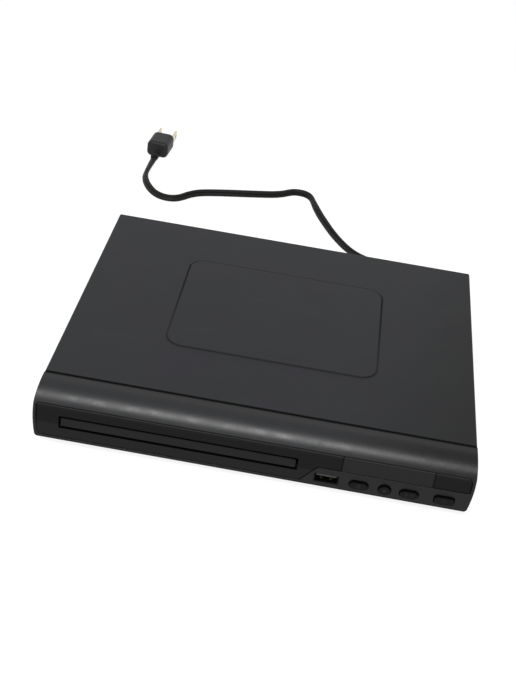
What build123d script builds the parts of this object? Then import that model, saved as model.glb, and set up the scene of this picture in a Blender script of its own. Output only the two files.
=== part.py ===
from build123d import *
import math
import os

# Disc player with a sliding tray. Millimetres, X across, Y from front to back, Z up from the floor.

# Housing
BODY_W = 234.0
BODY_D = 204.0
BODY_H = 30.6
FOOT_H = 7.0
FOOT_R = 10.0
FOOT_PEG_R = 2.9
FOOT_PEG_TOP = 0.3
FOOT_IN_X = 23.0
FOOT_IN_Y = 24.0
SHEET = 0.8
SHEET_GAP = 0.1
PAN_LIFT = 0.6
PAN_FLANGE_H = 9.0
BEND_R = 1.0
COVER_CORNER_R = 1.1
PANEL_W = 121.6
PANEL_D = 98.4
PANEL_FROM_FACE = 62.8
PANEL_R = 10.0
PANEL_RISE = 0.5
COVER_LIP = 8.0
COVER_SCREW_IN = 25.0
COVER_SCREW_FRONT = 30.0
COVER_SCREW_BACK = 22.0
COVER_SCREW_UP = 5.6
SEAM_FROM_FACE = 17.3
SEAM_GAP = 1.2

# Bezel and trim
BEZEL_BULGE = 1.4
BEZEL_WALL = 2.0
BEZEL_FACE = 3.0
BEZEL_FLOOR_D = 9.0
BEZEL_CORNER_R = 2.0
LIP_DEPTH = 12.5
LIP_DROP = 8.2
TRIM_T = 1.6
TRIM_MARGIN = 1.6
TRIM_GAP = 0.3
TRIM_BOTTOM = 1.5
TRIM_STEP_Z = 12.0
TRIM_STEP_IN = 2.1
TRIM_STEP_OUT = 10.9
WINDOW_W = 49.2
WINDOW_FROM_RIGHT = 20.0
WINDOW_T = 1.0
WINDOW_FRAME = 1.3

# Keys and sockets on the front
KEY_PROUD = 1.2
KEY_GAP = 0.55
KEY_TRAVEL = 0.8
KEY_FLANGE = 1.0
KEY_FLANGE_T = 1.2
KEY_BACK_GAP = 0.3
KEY_Z = 5.2
PILL_KEY = (9.7, 5.0)
ROUND_KEY_D = 6.2
POWER_KEY = (10.4, 5.2)
POWER_KEY_R = 1.8
KEY_EJECT_FROM_RIGHT = 58.5
KEY_STOP_FROM_RIGHT = 44.6
KEY_PLAY_FROM_RIGHT = 31.5
KEY_POWER_FROM_RIGHT = 12.7
USB_FROM_RIGHT = 76.0
USB_Z = 5.6
USB_W = 13.1
USB_H = 5.7
USB_WALL = 0.4
USB_L = 13.5
USB_TONGUE_W = 11.0
USB_GAP = 0.25

# Tray slot and tray
SLOT_FROM_LEFT = 12.9
SLOT_W = 128.8
SLOT_FROM_BOTTOM = 8.1
SLOT_H = 7.6
DOOR_SIDE_GAP = 0.9
DOOR_TOP_GAP = 1.0
DOOR_BOTTOM_GAP = 1.2
DOOR_T = 3.0
TRAY_W = 126.6
TRAY_L = 162.4
TRAY_H = 5.8
TRAY_LIFT = 0.8
TRAY_FLOOR = 1.3
TRAY_RAIL = 2.0
TRAY_SLOT_R = 26.0
TRAY_TRAVEL = 125.0
POCKET_R = 60.8
POCKET_DEPTH = 2.5
SMALL_DISC_R = 40.6
SMALL_DISC_DEPTH = 0.5
POCKET_FROM_DOOR = 3.6
BRIDGE_RIB = 8.0
BRIDGE_RIB_T = 1.0

# Tray drive
RACK_X = 50.0
RACK_BACK = 2.6
GEAR_ANGLE = 20.0
RACK_MODULE = 1.0
RACK_PINION_TEETH = 16
TRAIN_MODULE = 0.8
WHEEL_TEETH = 36
PINION_TEETH = 12
ADDENDUM = 0.8
DEDENDUM = 1.1
BACKLASH = 0.24
GEAR_FROM_FACE = 23.4
GEAR_BORE_R = 1.58
POST_R = 1.5
RUNNING_GAP = 0.3
WHEEL_T = 2.4
BELT_R = 0.7
BELT_SEAT = 0.3
PULLEY_R = 9.4
MOTOR_PULLEY_R = 3.2
PULLEY_T = 2.2
MOTOR_R = 12.2
MOTOR_H = 12.3
MOTOR_FROM_FRAME = 17.7
MOTOR_FROM_FACE = 29.4
MOTOR_SHAFT_R = 1.0
MOTOR_EAR_T = 1.2
MOTOR_EAR_GAP = 1.2

# Loader frame
FRAME_GAP = 0.7
FRAME_WALL = 2.0
FRAME_TOP = 24.4
FRAME_BASE_T = 1.2
FRAME_FRONT = 12.0
FRAME_REAR = 177.4
GUIDE_LEDGE = 4.0
GUIDE_LIP = 1.4
GUIDE_LIP_T = 1.2
FRAME_POST = 0.5
FRAME_FOOT = 47.4

# Tilting deck
DECK_HINGE = 171.4
DECK_HINGE_Z = 14.0
DECK_TILT = 2.4
DECK_HALF_W = 47.0
DECK_START = 43.4
DECK_FRAME_T = 3.2
DECK_LEDGE_T = 1.0
PLATE_GAP = 1.2
PLATE_T = 1.2
PLATE_Z = 13.7
HINGE_PIN_R = 1.5
HINGE_BORE_R = 1.58
HINGE_PIN_L = 5.0
DAMPER_R = 3.4
WELL_DEPTH = 2.6
WELL_ROOM = 2.5
WELL_START = 37.4
WELL_END = 155.4
CAM_TRAVEL = 18.0
CAM_PIN_R = 1.0
CAM_SLOT_GAP = 0.4
CAM_PIN_X = 14.0
CAM_WALL = 1.6
CAM_WEB = 0.6

# Spindle, pickup and clamp
DISC_PLANE = 20.2
TURNTABLE_R = 15.0
HUB_R = 7.35
HUB_H = 2.2
SPINDLE_MOTOR_R = 10.5
ROD_R = 1.5
ROD_X = 21.0
PICKUP_BORE_R = 1.56
PICKUP_TRAVEL = 35.0
LENS_RADIUS_IN = 24.0
LENS_R = 2.4
LENS_TOP = 18.8
SCREW_X = 30.0
CLAMP_R = 14.0
CLAMP_HOLE_R = 11.0

# Rear wall
JACK_PROUD = 8.0
JACK_R = 4.15
JACK_BORE_R = 3.3
JACK_PITCH = 15.0
JACK_Z = 22.4
JACK_FROM_LEFT = 39.0
HDMI_FROM_LEFT = 89.0
HDMI_W = 15.4
HDMI_H = 6.0
PORT_GAP = 0.4
RELIEF_FROM_RIGHT = 51.0
RELIEF_Z = 20.0
RELIEF_L = 20.0
RELIEF_R = 4.0
RELIEF_HOLE_R = 5.0

# Boards
BOARD_T = 1.6
BOARD_MARGIN = 6.0
MAIN_BOARD = (77.0, 82.0)
MAIN_BOARD_START = 47.4
POWER_BOARD = (77.0, 62.0)
POWER_BOARD_BACK = 6.6
JACK_BOARD = (126.0, 18.0)
JACK_BOARD_LEFT = 13.0
JACK_BOARD_BACK = 4.6
RIBBON_FROM_LEFT = 44.0
RIBBON_W = 16.0
RIBBON_SOCKET_H = 4.0
LEAD_SHIFT = 2.0
LEAD_SOCKET_H = 7.0
LEAD_D = 1.8
LEAD_BLOCK_BACK = 9.0
STANDOFF_H = 4.0
STANDOFF_R = 3.0
SCREW_R = 1.3
SCREW_HOLE_R = 1.35
SCREW_HEAD_R = 2.7
SCREW_HEAD_H = 1.4
VENT_COUNT = 9
VENT_PITCH = 6.0
VENT_W = 2.4
VENT_L = 16.0
VENT_ROW_PITCH = 22.0
VENT_START = 14.0

# Components, each placed from its board's front left corner
MAIN_CHIP = (32.0, 40.0)
MAIN_CHIP_W = 20.0
DRIVER_CHIP = (58.0, 38.0)
DRIVER_CHIP_SIZE = (12.0, 8.0)
MEMORY_CHIP = (56.0, 62.0)
MEMORY_CHIP_SIZE = (10.0, 7.0)
CHIP_T = 1.4
RECEIVER_W = 6.0
SMALL_CAN_R = 3.2
SMALL_CAN_H = 11.0
SMALL_CAN_X = 12.0
SMALL_CAN_Y = (28.0, 40.0)
LONE_CAN = (66.0, 72.0)
MIDDLE_CAN_R = 4.0
MIDDLE_CAN_H = 12.0
MIDDLE_CAN_MAIN = (12.0, 66.0)
MIDDLE_CAN_POWER = (24.0, 8.0)
LARGE_CAN_R = 5.0
LARGE_CAN_H = 16.0
LARGE_CAN_X = 10.0
LARGE_CAN_Y = (10.0, 24.0)
MAINS_CAN_R = 7.0
MAINS_CAN_H = 20.0
MAINS_CAN = (65.0, 44.0)
SOCKET_SIZE = (14.0, 6.0, 6.0)
MAIN_SOCKET = (18.0, 75.0)
POWER_SOCKET = (18.0, 40.0)
JACK_SOCKET = (114.0, 9.0)
JACK_SOCKET_SIZE = (12.0, 5.0, 5.0)
LEAD_BLOCK_SIZE = (10.0, 7.0)
RIBBON_SOCKET_IN = 7.0
TRANSFORMER = (46.0, 24.0)
CORE_SIZE = (22.0, 8.0, 18.0)
BOBBIN_SIZE = (16.0, 18.0, 15.0)
CHOKE = (48.0, 52.0)
CHOKE_SIZE = (16.0, 12.0, 13.0)
COIL_CORNER_R = 3.0
FUSE = (44.0, 40.0)
FUSE_L = 20.0
FUSE_R = 2.6
FUSE_UP = 4.0
FUSE_CLIP_W = 4.0
SINK = (24.0, 14.0)
SINK_T = 3.0
SINK_L = 22.0
SINK_H = 18.0
FIN_L = 5.0
FIN_T = 1.2
FIN_COUNT = 5

# Mains cord
CORD_D = 4.4
HANK_X = -6.0
HANK_RUN = 66.0
HANK_OUTER_R = 20.6
HANK_PITCH = 5.5
HANK_WAIST = 8.0
HANK_CLEAR = 1.4
TIE_T = 1.0
TIE_W = 7.0
TIE_GAP = 0.3
PLUG_BODY = (17.0, 26.0, 13.0)

# Places worked out from the sizes above
FACE_Y = KEY_PROUD - (BODY_D + KEY_PROUD + JACK_PROUD) / 2
REAR_Y = FACE_Y + BODY_D
TOP_Z = FOOT_H + BODY_H
HALF_W = BODY_W / 2
BEZEL_REAR_Y = FACE_Y + SEAM_FROM_FACE - SEAM_GAP / 2
COVER_FRONT_Y = FACE_Y + SEAM_FROM_FACE + SEAM_GAP / 2
PAN_Z = FOOT_H + PAN_LIFT
PAN_TOP = PAN_Z + SHEET
PAN_HALF_W = HALF_W - SHEET - SHEET_GAP
WALL_Y = REAR_Y - SHEET - SHEET_GAP
LIP_Z = TOP_Z - LIP_DROP
STEP_Z = FOOT_H + TRIM_STEP_Z
SLOT_LOW = FOOT_H + SLOT_FROM_BOTTOM
SLOT_HIGH = SLOT_LOW + SLOT_H
SLOT_LEFT = SLOT_FROM_LEFT - HALF_W
SLOT_RIGHT = SLOT_LEFT + SLOT_W
TRAY_X = SLOT_LEFT + SLOT_W / 2
WINDOW_RIGHT = HALF_W - WINDOW_FROM_RIGHT
WINDOW_LEFT = WINDOW_RIGHT - WINDOW_W
USB_X = HALF_W - USB_FROM_RIGHT
KEY_EJECT_X = HALF_W - KEY_EJECT_FROM_RIGHT
KEY_STOP_X = HALF_W - KEY_STOP_FROM_RIGHT
KEY_PLAY_X = HALF_W - KEY_PLAY_FROM_RIGHT
KEY_POWER_X = HALF_W - KEY_POWER_FROM_RIGHT
JACK_X = JACK_FROM_LEFT - HALF_W
HDMI_X = HDMI_FROM_LEFT - HALF_W
RELIEF_X = HALF_W - RELIEF_FROM_RIGHT
TRAY_Z = SLOT_LOW + TRAY_LIFT
TRAY_TOP = TRAY_Z + TRAY_H
TRAY_FRONT = FACE_Y + DOOR_T
TRAY_REAR = TRAY_FRONT + TRAY_L
POCKET_Z = TRAY_TOP - POCKET_DEPTH
FLOOR_Z = POCKET_Z - TRAY_FLOOR
DISC_Y = TRAY_FRONT + POCKET_FROM_DOOR + POCKET_R
RACK_PITCH_R = RACK_MODULE * RACK_PINION_TEETH / 2
WHEEL_R = TRAIN_MODULE * WHEEL_TEETH / 2
PINION_R = TRAIN_MODULE * PINION_TEETH / 2
GEAR_X = TRAY_X + RACK_X - RACK_PITCH_R
GEAR_Y = FACE_Y + GEAR_FROM_FACE
BELT_PULLEY_X = GEAR_X - WHEEL_R - PINION_R
MOTOR_Y = FACE_Y + MOTOR_FROM_FACE
FRAME_Z = PAN_TOP + FRAME_POST
FRAME_FLOOR = FRAME_Z + FRAME_BASE_T
FRAME_INNER = TRAY_W / 2 + FRAME_GAP
FRAME_OUTER = FRAME_INNER + FRAME_WALL
FRAME_FRONT_Y = FACE_Y + FRAME_FRONT
FRAME_FOOT_Y = FACE_Y + FRAME_FOOT
MOTOR_X = TRAY_X + FRAME_OUTER + MOTOR_FROM_FRAME
FRAME_REAR_Y = FACE_Y + FRAME_REAR
PULLEY_Z = FRAME_FLOOR + RUNNING_GAP
WHEEL_Z = PULLEY_Z + PULLEY_T + RUNNING_GAP
RACK_PINION_TOP = FLOOR_Z - 0.4
LEDGE_Z = TRAY_Z - RUNNING_GAP
DECK_HINGE_Y = FACE_Y + DECK_HINGE
DECK_FRONT = FACE_Y + DECK_START
DECK_OPENING = DECK_HALF_W + 2.0
WELL_FRONT = FACE_Y + WELL_START
WELL_BACK = FACE_Y + WELL_END
WELL_HALF_W = DECK_HALF_W + WELL_ROOM
DECK_Z = PLATE_Z - PLATE_GAP - DECK_LEDGE_T
PLATE_TOP = PLATE_Z + PLATE_T
DECK_REAR = DECK_HINGE_Y - 2.0
ROD_Z = PLATE_TOP
CAM_Y = DECK_FRONT - 0.8 - CAM_WALL
CAM_PIN_ARM = DECK_HINGE_Y - CAM_Y
CAM_DROP = CAM_PIN_ARM * math.tan(math.radians(DECK_TILT))
WELL_FLOOR = PAN_TOP - WELL_DEPTH
BOARD_Z = PAN_TOP + STANDOFF_H
BOARD_TOP = BOARD_Z + BOARD_T
MAIN_X = HALF_W - BOARD_MARGIN - MAIN_BOARD[0]
MAIN_Y = FACE_Y + MAIN_BOARD_START
POWER_X = HALF_W - BOARD_MARGIN - POWER_BOARD[0]
POWER_Y = REAR_Y - POWER_BOARD_BACK - POWER_BOARD[1]
LEAD_Y = POWER_Y + POWER_BOARD[1] - LEAD_BLOCK_BACK
JACKS_X = JACK_BOARD_LEFT - HALF_W
JACKS_Y = REAR_Y - JACK_BOARD_BACK - JACK_BOARD[1]
FRONT_BOARD_Y = FACE_Y + 10.4
KEY_STEM_Y = FACE_Y + BEZEL_FACE + KEY_BACK_GAP + KEY_FLANGE_T
SWITCH_TIP_Y = KEY_STEM_Y + KEY_TRAVEL + 0.1
CORD_R = CORD_D / 2
HANK_Y = REAR_Y + HANK_CLEAR + CORD_R + HANK_OUTER_R - HANK_PITCH / 2
HANK_LAYER = CORD_D + 1.1
HANK_HALF = HANK_RUN / 2
WAIST_LIFT = TIE_T + 0.2


def slab(x0, x1, y0, y1, z0, z1):
    """A box between two corners."""
    middle = Pos((x0 + x1) / 2, (y0 + y1) / 2, (z0 + z1) / 2)
    return middle * Box(x1 - x0, y1 - y0, z1 - z0)


def disc(x, y, z0, z1, radius):
    """An upright cylinder."""
    return Pos(x, y, (z0 + z1) / 2) * Cylinder(radius, z1 - z0)


def rod_y(x, z, y0, y1, radius):
    """A cylinder that lies from front to back."""
    return Pos(x, (y0 + y1) / 2, z) * Rot(90, 0, 0) * Cylinder(radius, y1 - y0)


def rod_x(y, z, x0, x1, radius):
    """A cylinder that lies across."""
    return Pos((x0 + x1) / 2, y, z) * Rot(0, 90, 0) * Cylinder(radius, x1 - x0)


def front_prism(outline, y0, y1):
    """An outline drawn in X and Z, made solid from y0 back to y1."""
    return extrude(Plane((0, y1, 0), x_dir=(1, 0, 0), z_dir=(0, -1, 0)) * outline, y1 - y0)


def side_prism(outline, x0, x1):
    """An outline drawn in Y and Z, made solid from x0 across to x1."""
    return extrude(Plane((x0, 0, 0), x_dir=(0, 1, 0), z_dir=(1, 0, 0)) * outline, x1 - x0)


def rounded(sketch, corner, radius):
    """The sketch with the corner nearest to the given point rounded."""
    nearest = min(sketch.vertices(), key=lambda v: (Vector(v.X, v.Y, 0) - Vector(*corner, 0)).length)
    return fillet(nearest, radius)


def save(name, shape):
    """Write one piece, or one group of like pieces, to its own file."""
    solids = shape.solids()
    kept = solids[0] if len(solids) == 1 else Compound(children=list(solids))
    export_step(kept, os.path.join("parts", name + ".step"))


def bezel_outline(inset):
    """The bezel seen from the front: flat above and below, gently bowed at the sides."""
    low = FOOT_H + inset
    high = TOP_Z - inset
    end = HALF_W - inset
    bow = HALF_W + BEZEL_BULGE - inset
    middle = (low + high) / 2
    bottom = Line((-end, low), (end, low))
    right = ThreePointArc((end, low), (bow, middle), (end, high))
    top = Line((end, high), (-end, high))
    left = ThreePointArc((-end, high), (-bow, middle), (-end, low))
    return make_face(bottom + right + top + left)


def lip_outline(inset, rear):
    """The bezel's section from the side: upright face, rolled lip, flat top."""
    front = FACE_Y + inset
    low = FOOT_H + inset
    top = TOP_Z - inset
    roll = Vector(FACE_Y + LIP_DEPTH, top)
    roll_r = (LIP_DEPTH**2 + LIP_DROP**2) / (2 * LIP_DROP) - inset
    centre_z = top - roll_r
    start_z = centre_z + math.sqrt(roll_r**2 - (roll.X - front) ** 2)
    half = math.atan2(start_z - centre_z, front - roll.X) / 2 + math.pi / 4
    middle = (roll.X + roll_r * math.cos(half), centre_z + roll_r * math.sin(half))
    face = Polyline((rear, top), (rear, low), (front, low), (front, start_z))
    curve = ThreePointArc((front, start_z), middle, (roll.X, top))
    flat = Line((roll.X, top), (rear, top))
    return make_face(face + curve + flat)


def tray_opening(y0, y1):
    """The slot that the tray runs through."""
    return slab(SLOT_LEFT, SLOT_RIGHT, y0, y1, SLOT_LOW, SLOT_HIGH)


def trim_outline(gap):
    """The inset panel: full width on the left, stepped up to a strip on the right."""
    reach = HALF_W + BEZEL_BULGE
    low = FOOT_H + TRIM_BOTTOM
    step_in = SLOT_RIGHT + TRIM_STEP_IN
    step_out = SLOT_RIGHT + TRIM_STEP_OUT
    strip = make_face(
        Polyline(
            (-reach, low),
            (step_in, low),
            (step_out, STEP_Z),
            (reach, STEP_Z),
            (reach, LIP_Z),
            (-reach, LIP_Z),
            close=True,
        )
    )
    sketch = strip & offset(bezel_outline(0), amount=-TRIM_MARGIN)
    sketch = Sketch() + sketch
    sketch = rounded(sketch, (-HALF_W, low), 3.0)
    sketch = rounded(sketch, (-HALF_W, LIP_Z), 1.6)
    sketch = rounded(sketch, (HALF_W, LIP_Z), 3.4)
    sketch = rounded(sketch, (HALF_W, STEP_Z), 1.4)
    sketch = rounded(sketch, (step_in, low), 2.0)
    sketch = rounded(sketch, (step_out, STEP_Z), 2.0)
    return offset(sketch, amount=-gap) if gap else sketch


def window_box(gap, y0, y1):
    """The display window's full height between the strip's edges."""
    return slab(WINDOW_LEFT + gap, WINDOW_RIGHT - gap, y0, y1, STEP_Z + gap, LIP_Z - gap)


def pill(size, grow):
    """The outline of a pill-shaped key."""
    width, height = size
    return RectangleRounded(width + 2 * grow, height + 2 * grow, height / 2 + grow - 0.05)


def key_outline(x, grow):
    """The outline of the key at the given place, drawn in X and Z."""
    if x == KEY_STOP_X:
        shape = Circle(ROUND_KEY_D / 2 + grow)
    elif x == KEY_POWER_X:
        width, height = POWER_KEY
        shape = RectangleRounded(width + 2 * grow, height + 2 * grow, POWER_KEY_R + grow)
    else:
        shape = pill(PILL_KEY, grow)
    return Pos(x, FOOT_H + KEY_Z) * shape


def make_key(x):
    """A key cap with a crowned face, a flange behind the bezel and a stem to its switch."""
    inner = FACE_Y + BEZEL_FACE + KEY_BACK_GAP
    cap = front_prism(key_outline(x, 0), FACE_Y - KEY_PROUD, inner)
    cap = chamfer(cap.faces().sort_by(Axis.Y)[0].edges(), 0.35)
    flange = front_prism(key_outline(x, KEY_GAP + KEY_FLANGE), inner, inner + KEY_FLANGE_T)
    floor = FOOT_H + BEZEL_WALL + KEY_BACK_GAP
    flange -= slab(x - BODY_W, x + BODY_W, FACE_Y, FACE_Y + BODY_D, 0, floor)
    return cap + flange


def make_bezel():
    """The moulded front: a bowed shell with its rolled lip, open at the back."""
    blank = front_prism(bezel_outline(0), FACE_Y, BEZEL_REAR_Y)
    blank = fillet(blank.edges().filter_by(Axis.Y).group_by(Axis.Z)[0], BEZEL_CORNER_R)
    blank = blank & side_prism(lip_outline(0, BEZEL_REAR_Y), -BODY_W, BODY_W)
    hollow = front_prism(bezel_outline(BEZEL_WALL), FACE_Y + BEZEL_FACE, BEZEL_REAR_Y + 1)
    hollow = hollow & side_prism(lip_outline(BEZEL_WALL, BEZEL_REAR_Y + 1), -BODY_W, BODY_W)
    shell = blank - hollow
    floor_end = FACE_Y + BEZEL_FLOOR_D
    inner_w = HALF_W - BEZEL_WALL
    shell -= slab(-inner_w, inner_w, floor_end, BEZEL_REAR_Y + 1, FOOT_H - 1, FOOT_H + BEZEL_WALL + 1)
    shell -= front_prism(trim_outline(0), FACE_Y - 1, FACE_Y + TRIM_T)
    shell -= tray_opening(FACE_Y, FACE_Y + BEZEL_FACE + 1)
    shell -= window_box(WINDOW_FRAME, FACE_Y, FACE_Y + BEZEL_FACE + 1)
    for x in (KEY_EJECT_X, KEY_STOP_X, KEY_PLAY_X, KEY_POWER_X):
        shell -= front_prism(key_outline(x, KEY_GAP), FACE_Y - 1, FACE_Y + BEZEL_FACE + 1)
    usb = Pos(USB_X, FOOT_H + USB_Z) * Rectangle(USB_W + 2 * USB_GAP, USB_H + 2 * USB_GAP)
    shell -= front_prism(usb, FACE_Y - 1, FACE_Y + BEZEL_FACE + 1)
    boss_y = FACE_Y + BEZEL_FACE
    for x in (KEY_EJECT_X - 10.5, KEY_POWER_X - 9.4):
        shell += rod_y(x, STEP_Z - 1.4, boss_y, FRONT_BOARD_Y, 1.7)
    return shell


def make_trim():
    """The glossy inset panel round the tray slot and the display."""
    trim = front_prism(trim_outline(TRIM_GAP), FACE_Y, FACE_Y + TRIM_T)
    trim -= tray_opening(FACE_Y - 1, FACE_Y + TRIM_T + 1)
    trim -= window_box(0, FACE_Y - 1, FACE_Y + WINDOW_T)
    trim -= window_box(WINDOW_FRAME, FACE_Y, FACE_Y + TRIM_T + 1)
    return trim


def make_lens():
    """The smoked display window, flush in its rebate."""
    return window_box(TRIM_GAP, FACE_Y, FACE_Y + WINDOW_T)


def make_door():
    """The door on the tray's front, which fills the slot when the tray is in."""
    x0, x1 = SLOT_LEFT + DOOR_SIDE_GAP, SLOT_RIGHT - DOOR_SIDE_GAP
    low = SLOT_LOW + DOOR_BOTTOM_GAP
    door = slab(x0, x1, FACE_Y, FACE_Y + DOOR_T, low, SLOT_HIGH - DOOR_TOP_GAP)
    ends = door.edges().filter_by(Axis.Y).group_by(Axis.X)[-1]
    door = fillet(ends, 1.2)
    return chamfer(door.faces().sort_by(Axis.Y)[0].edges(), 0.25)


def bent_block(half_w, y0, y1, z0, z1, skin):
    """A block with the cover's bends and rear corners, as seen from a skin's depth inside it."""
    block = slab(-half_w, half_w, y0, y1, z0, z1)
    block = fillet(block.edges().filter_by(Axis.Y).group_by(Axis.Z)[-1], BEND_R - skin)
    return fillet(block.edges().filter_by(Axis.Z).group_by(Axis.Y)[-1], COVER_CORNER_R - skin)


def make_cover():
    """The bent sheet cover: top, two sides and a short lip behind, with its raised rectangle."""
    outer = bent_block(HALF_W, COVER_FRONT_Y, REAR_Y, PAN_Z + SHEET_GAP, TOP_Z, 0)
    inner_w = HALF_W - SHEET
    inner_y = REAR_Y - SHEET
    cover = outer - bent_block(inner_w, COVER_FRONT_Y - 1, inner_y, PAN_Z - 1, TOP_Z - SHEET, SHEET)
    cover -= slab(-inner_w, inner_w, WALL_Y, REAR_Y + 1, PAN_Z - 1, TOP_Z - COVER_LIP)
    panel_y = FACE_Y + PANEL_FROM_FACE + PANEL_D / 2
    rim = Pos(0, panel_y, TOP_Z - SHEET / 2) * RectangleRounded(PANEL_W, PANEL_D, PANEL_R)
    raised = extrude(rim, SHEET / 2 + PANEL_RISE)
    raised = fillet(raised.faces().sort_by(Axis.Z)[-1].edges(), PANEL_RISE * 0.8)
    inside = RectangleRounded(PANEL_W - 2 * SHEET, PANEL_D - 2 * SHEET, PANEL_R - SHEET)
    hollow = extrude(Pos(0, panel_y, TOP_Z - SHEET - 1) * inside, 1 + PANEL_RISE)
    cover = cover + raised - hollow
    for x, y, z in cover_screw_places():
        if y > WALL_Y:
            cover -= rod_y(x, z, WALL_Y, REAR_Y + 1, SCREW_R + 0.3)
        else:
            side = math.copysign(1, x)
            cover -= rod_x(y, z, min(x, x - side * 4), max(x, x - side * 4), SCREW_R + 0.3)
    return cover


def cover_screw_places():
    """Where the cover's screws sit: three in the rear lip and two in each side."""
    reach = HALF_W - COVER_SCREW_IN
    rear = [(x, REAR_Y, TOP_Z - COVER_LIP / 2) for x in (-reach, 0.0, reach)]
    ends = (COVER_FRONT_Y + COVER_SCREW_FRONT, REAR_Y - COVER_SCREW_BACK)
    sides = [(s * HALF_W, y, PAN_Z + COVER_SCREW_UP) for s in (-1, 1) for y in ends]
    return rear + sides


def screw_solid():
    """A small pan-head screw, standing with its head's underside at z 0 and a cross recess on top."""
    head = Pos(0, 0, SCREW_HEAD_H / 2) * Cylinder(SCREW_HEAD_R, SCREW_HEAD_H)
    head = fillet(head.edges().group_by(Axis.Z)[-1], SCREW_HEAD_H * 0.5)
    slot = Pos(0, 0, SCREW_HEAD_H) * (Box(2.6, 0.6, 1.2) + Box(0.6, 2.6, 1.2))
    shank = Pos(0, 0, -1.5) * Cylinder(SCREW_R, 3.0)
    return head - slot + shank


def make_cover_screws():
    """The screws that hold the cover, turned to their faces."""
    screw = screw_solid()
    placed = []
    for x, y, z in cover_screw_places():
        if y > WALL_Y:
            turn = Rot(-90, 0, 0)
        else:
            turn = Rot(0, math.copysign(90, x), 0)
        placed.append(Pos(x, y, z) * turn * screw)
    return Compound(children=placed)


def board_places():
    """Each lying board's edges: x0, x1, y0, y1."""
    main_board = (MAIN_X, MAIN_X + MAIN_BOARD[0], MAIN_Y, MAIN_Y + MAIN_BOARD[1])
    power_board = (POWER_X, POWER_X + POWER_BOARD[0], POWER_Y, POWER_Y + POWER_BOARD[1])
    jack_board = (JACKS_X, JACKS_X + JACK_BOARD[0], JACKS_Y, JACKS_Y + JACK_BOARD[1])
    return main_board, power_board, jack_board


def standoff_places(x0, x1, y0, y1):
    """The screws near a board's corners."""
    inset = 4.0
    return [(x, y) for x in (x0 + inset, x1 - inset) for y in (y0 + inset, y1 - inset)]


def frame_feet():
    """Where the loader frame is screwed to the pan."""
    reach = (DECK_OPENING + FRAME_INNER) / 2
    return [(TRAY_X + s * reach, y) for s in (-1, 1) for y in (FRAME_FOOT_Y, FRAME_REAR_Y - 20.0)]


def make_chassis():
    """The sheet pan with its side flanges, rear wall, well under the deck and pressed standoffs."""
    front = FACE_Y + BEZEL_FLOOR_D + 0.4
    tongue = HALF_W - BEZEL_WALL - 1.0
    pan = slab(-PAN_HALF_W, PAN_HALF_W, COVER_FRONT_Y, WALL_Y, PAN_Z, PAN_TOP)
    pan += slab(-tongue, tongue, front, COVER_FRONT_Y, PAN_Z, PAN_TOP)
    for side in (-1, 1):
        x0, x1 = sorted((side * PAN_HALF_W, side * (PAN_HALF_W - SHEET)))
        pan += slab(x0, x1, COVER_FRONT_Y, WALL_Y, PAN_Z, PAN_Z + PAN_FLANGE_H)
    wall_top = TOP_Z - SHEET - SHEET_GAP
    pan += slab(-PAN_HALF_W, PAN_HALF_W, WALL_Y - SHEET, WALL_Y, PAN_Z, wall_top)
    pan = pan & bent_block(PAN_HALF_W, front, WALL_Y, PAN_Z, wall_top, SHEET)
    x0, x1 = TRAY_X - WELL_HALF_W, TRAY_X + WELL_HALF_W
    pan += slab(x0, x1, WELL_FRONT, WELL_BACK, WELL_FLOOR - SHEET, PAN_Z + SHEET / 2)
    front, back = WELL_FRONT + SHEET, WELL_BACK - SHEET
    pan -= slab(x0 + SHEET, x1 - SHEET, front, back, WELL_FLOOR, PAN_TOP + 1)
    for x0, x1, y0, y1 in board_places():
        for x, y in standoff_places(x0, x1, y0, y1):
            pan += disc(x, y, PAN_TOP, BOARD_Z, STANDOFF_R)
            pan -= disc(x, y, PAN_Z - 1, BOARD_Z + 1, SCREW_HOLE_R)
    for x, y in frame_feet():
        pan += disc(x, y, PAN_TOP, FRAME_Z, STANDOFF_R)
        pan -= disc(x, y, PAN_Z - 1, FRAME_Z + 1, SCREW_HOLE_R)
    for x, y in foot_places():
        pan -= disc(x, y, PAN_Z - 1, PAN_TOP + 1, FOOT_PEG_R + 0.1)
    for x, y, z in cover_screw_places():
        if y > WALL_Y:
            pan -= rod_y(x, z, WALL_Y - 3, WALL_Y + 1, SCREW_HOLE_R)
        else:
            side = math.copysign(1, x)
            pan -= rod_x(y, z, min(x, x - side * 4), max(x, x - side * 4), SCREW_HOLE_R)
    for k in range(3):
        pan -= rod_y(JACK_X + k * JACK_PITCH, JACK_Z, WALL_Y - 2, WALL_Y + 1, JACK_R + 0.9)
    reach = HDMI_W / 2 + PORT_GAP
    low, high = BOARD_TOP - PORT_GAP, BOARD_TOP + HDMI_H + PORT_GAP
    pan -= slab(HDMI_X - reach, HDMI_X + reach, WALL_Y - 2, WALL_Y + 1, low, high)
    pan -= rod_y(RELIEF_X, RELIEF_Z, WALL_Y - 2, WALL_Y + 1, RELIEF_HOLE_R)
    for row in range(2):
        for k in range(VENT_COUNT):
            x = POWER_X + VENT_START + k * VENT_PITCH
            y = POWER_Y + VENT_START + row * VENT_ROW_PITCH
            half_w, half_l = VENT_W / 2, VENT_L / 2
            pan -= slab(x - half_w, x + half_w, y - half_l, y + half_l, PAN_Z - 1, PAN_TOP + 1)
    return pan


def foot_places():
    """The four feet, near the corners."""
    x = HALF_W - FOOT_IN_X
    return [(sx * x, y) for sx in (-1, 1) for y in (FACE_Y + FOOT_IN_Y, REAR_Y - FOOT_IN_Y)]


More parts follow.
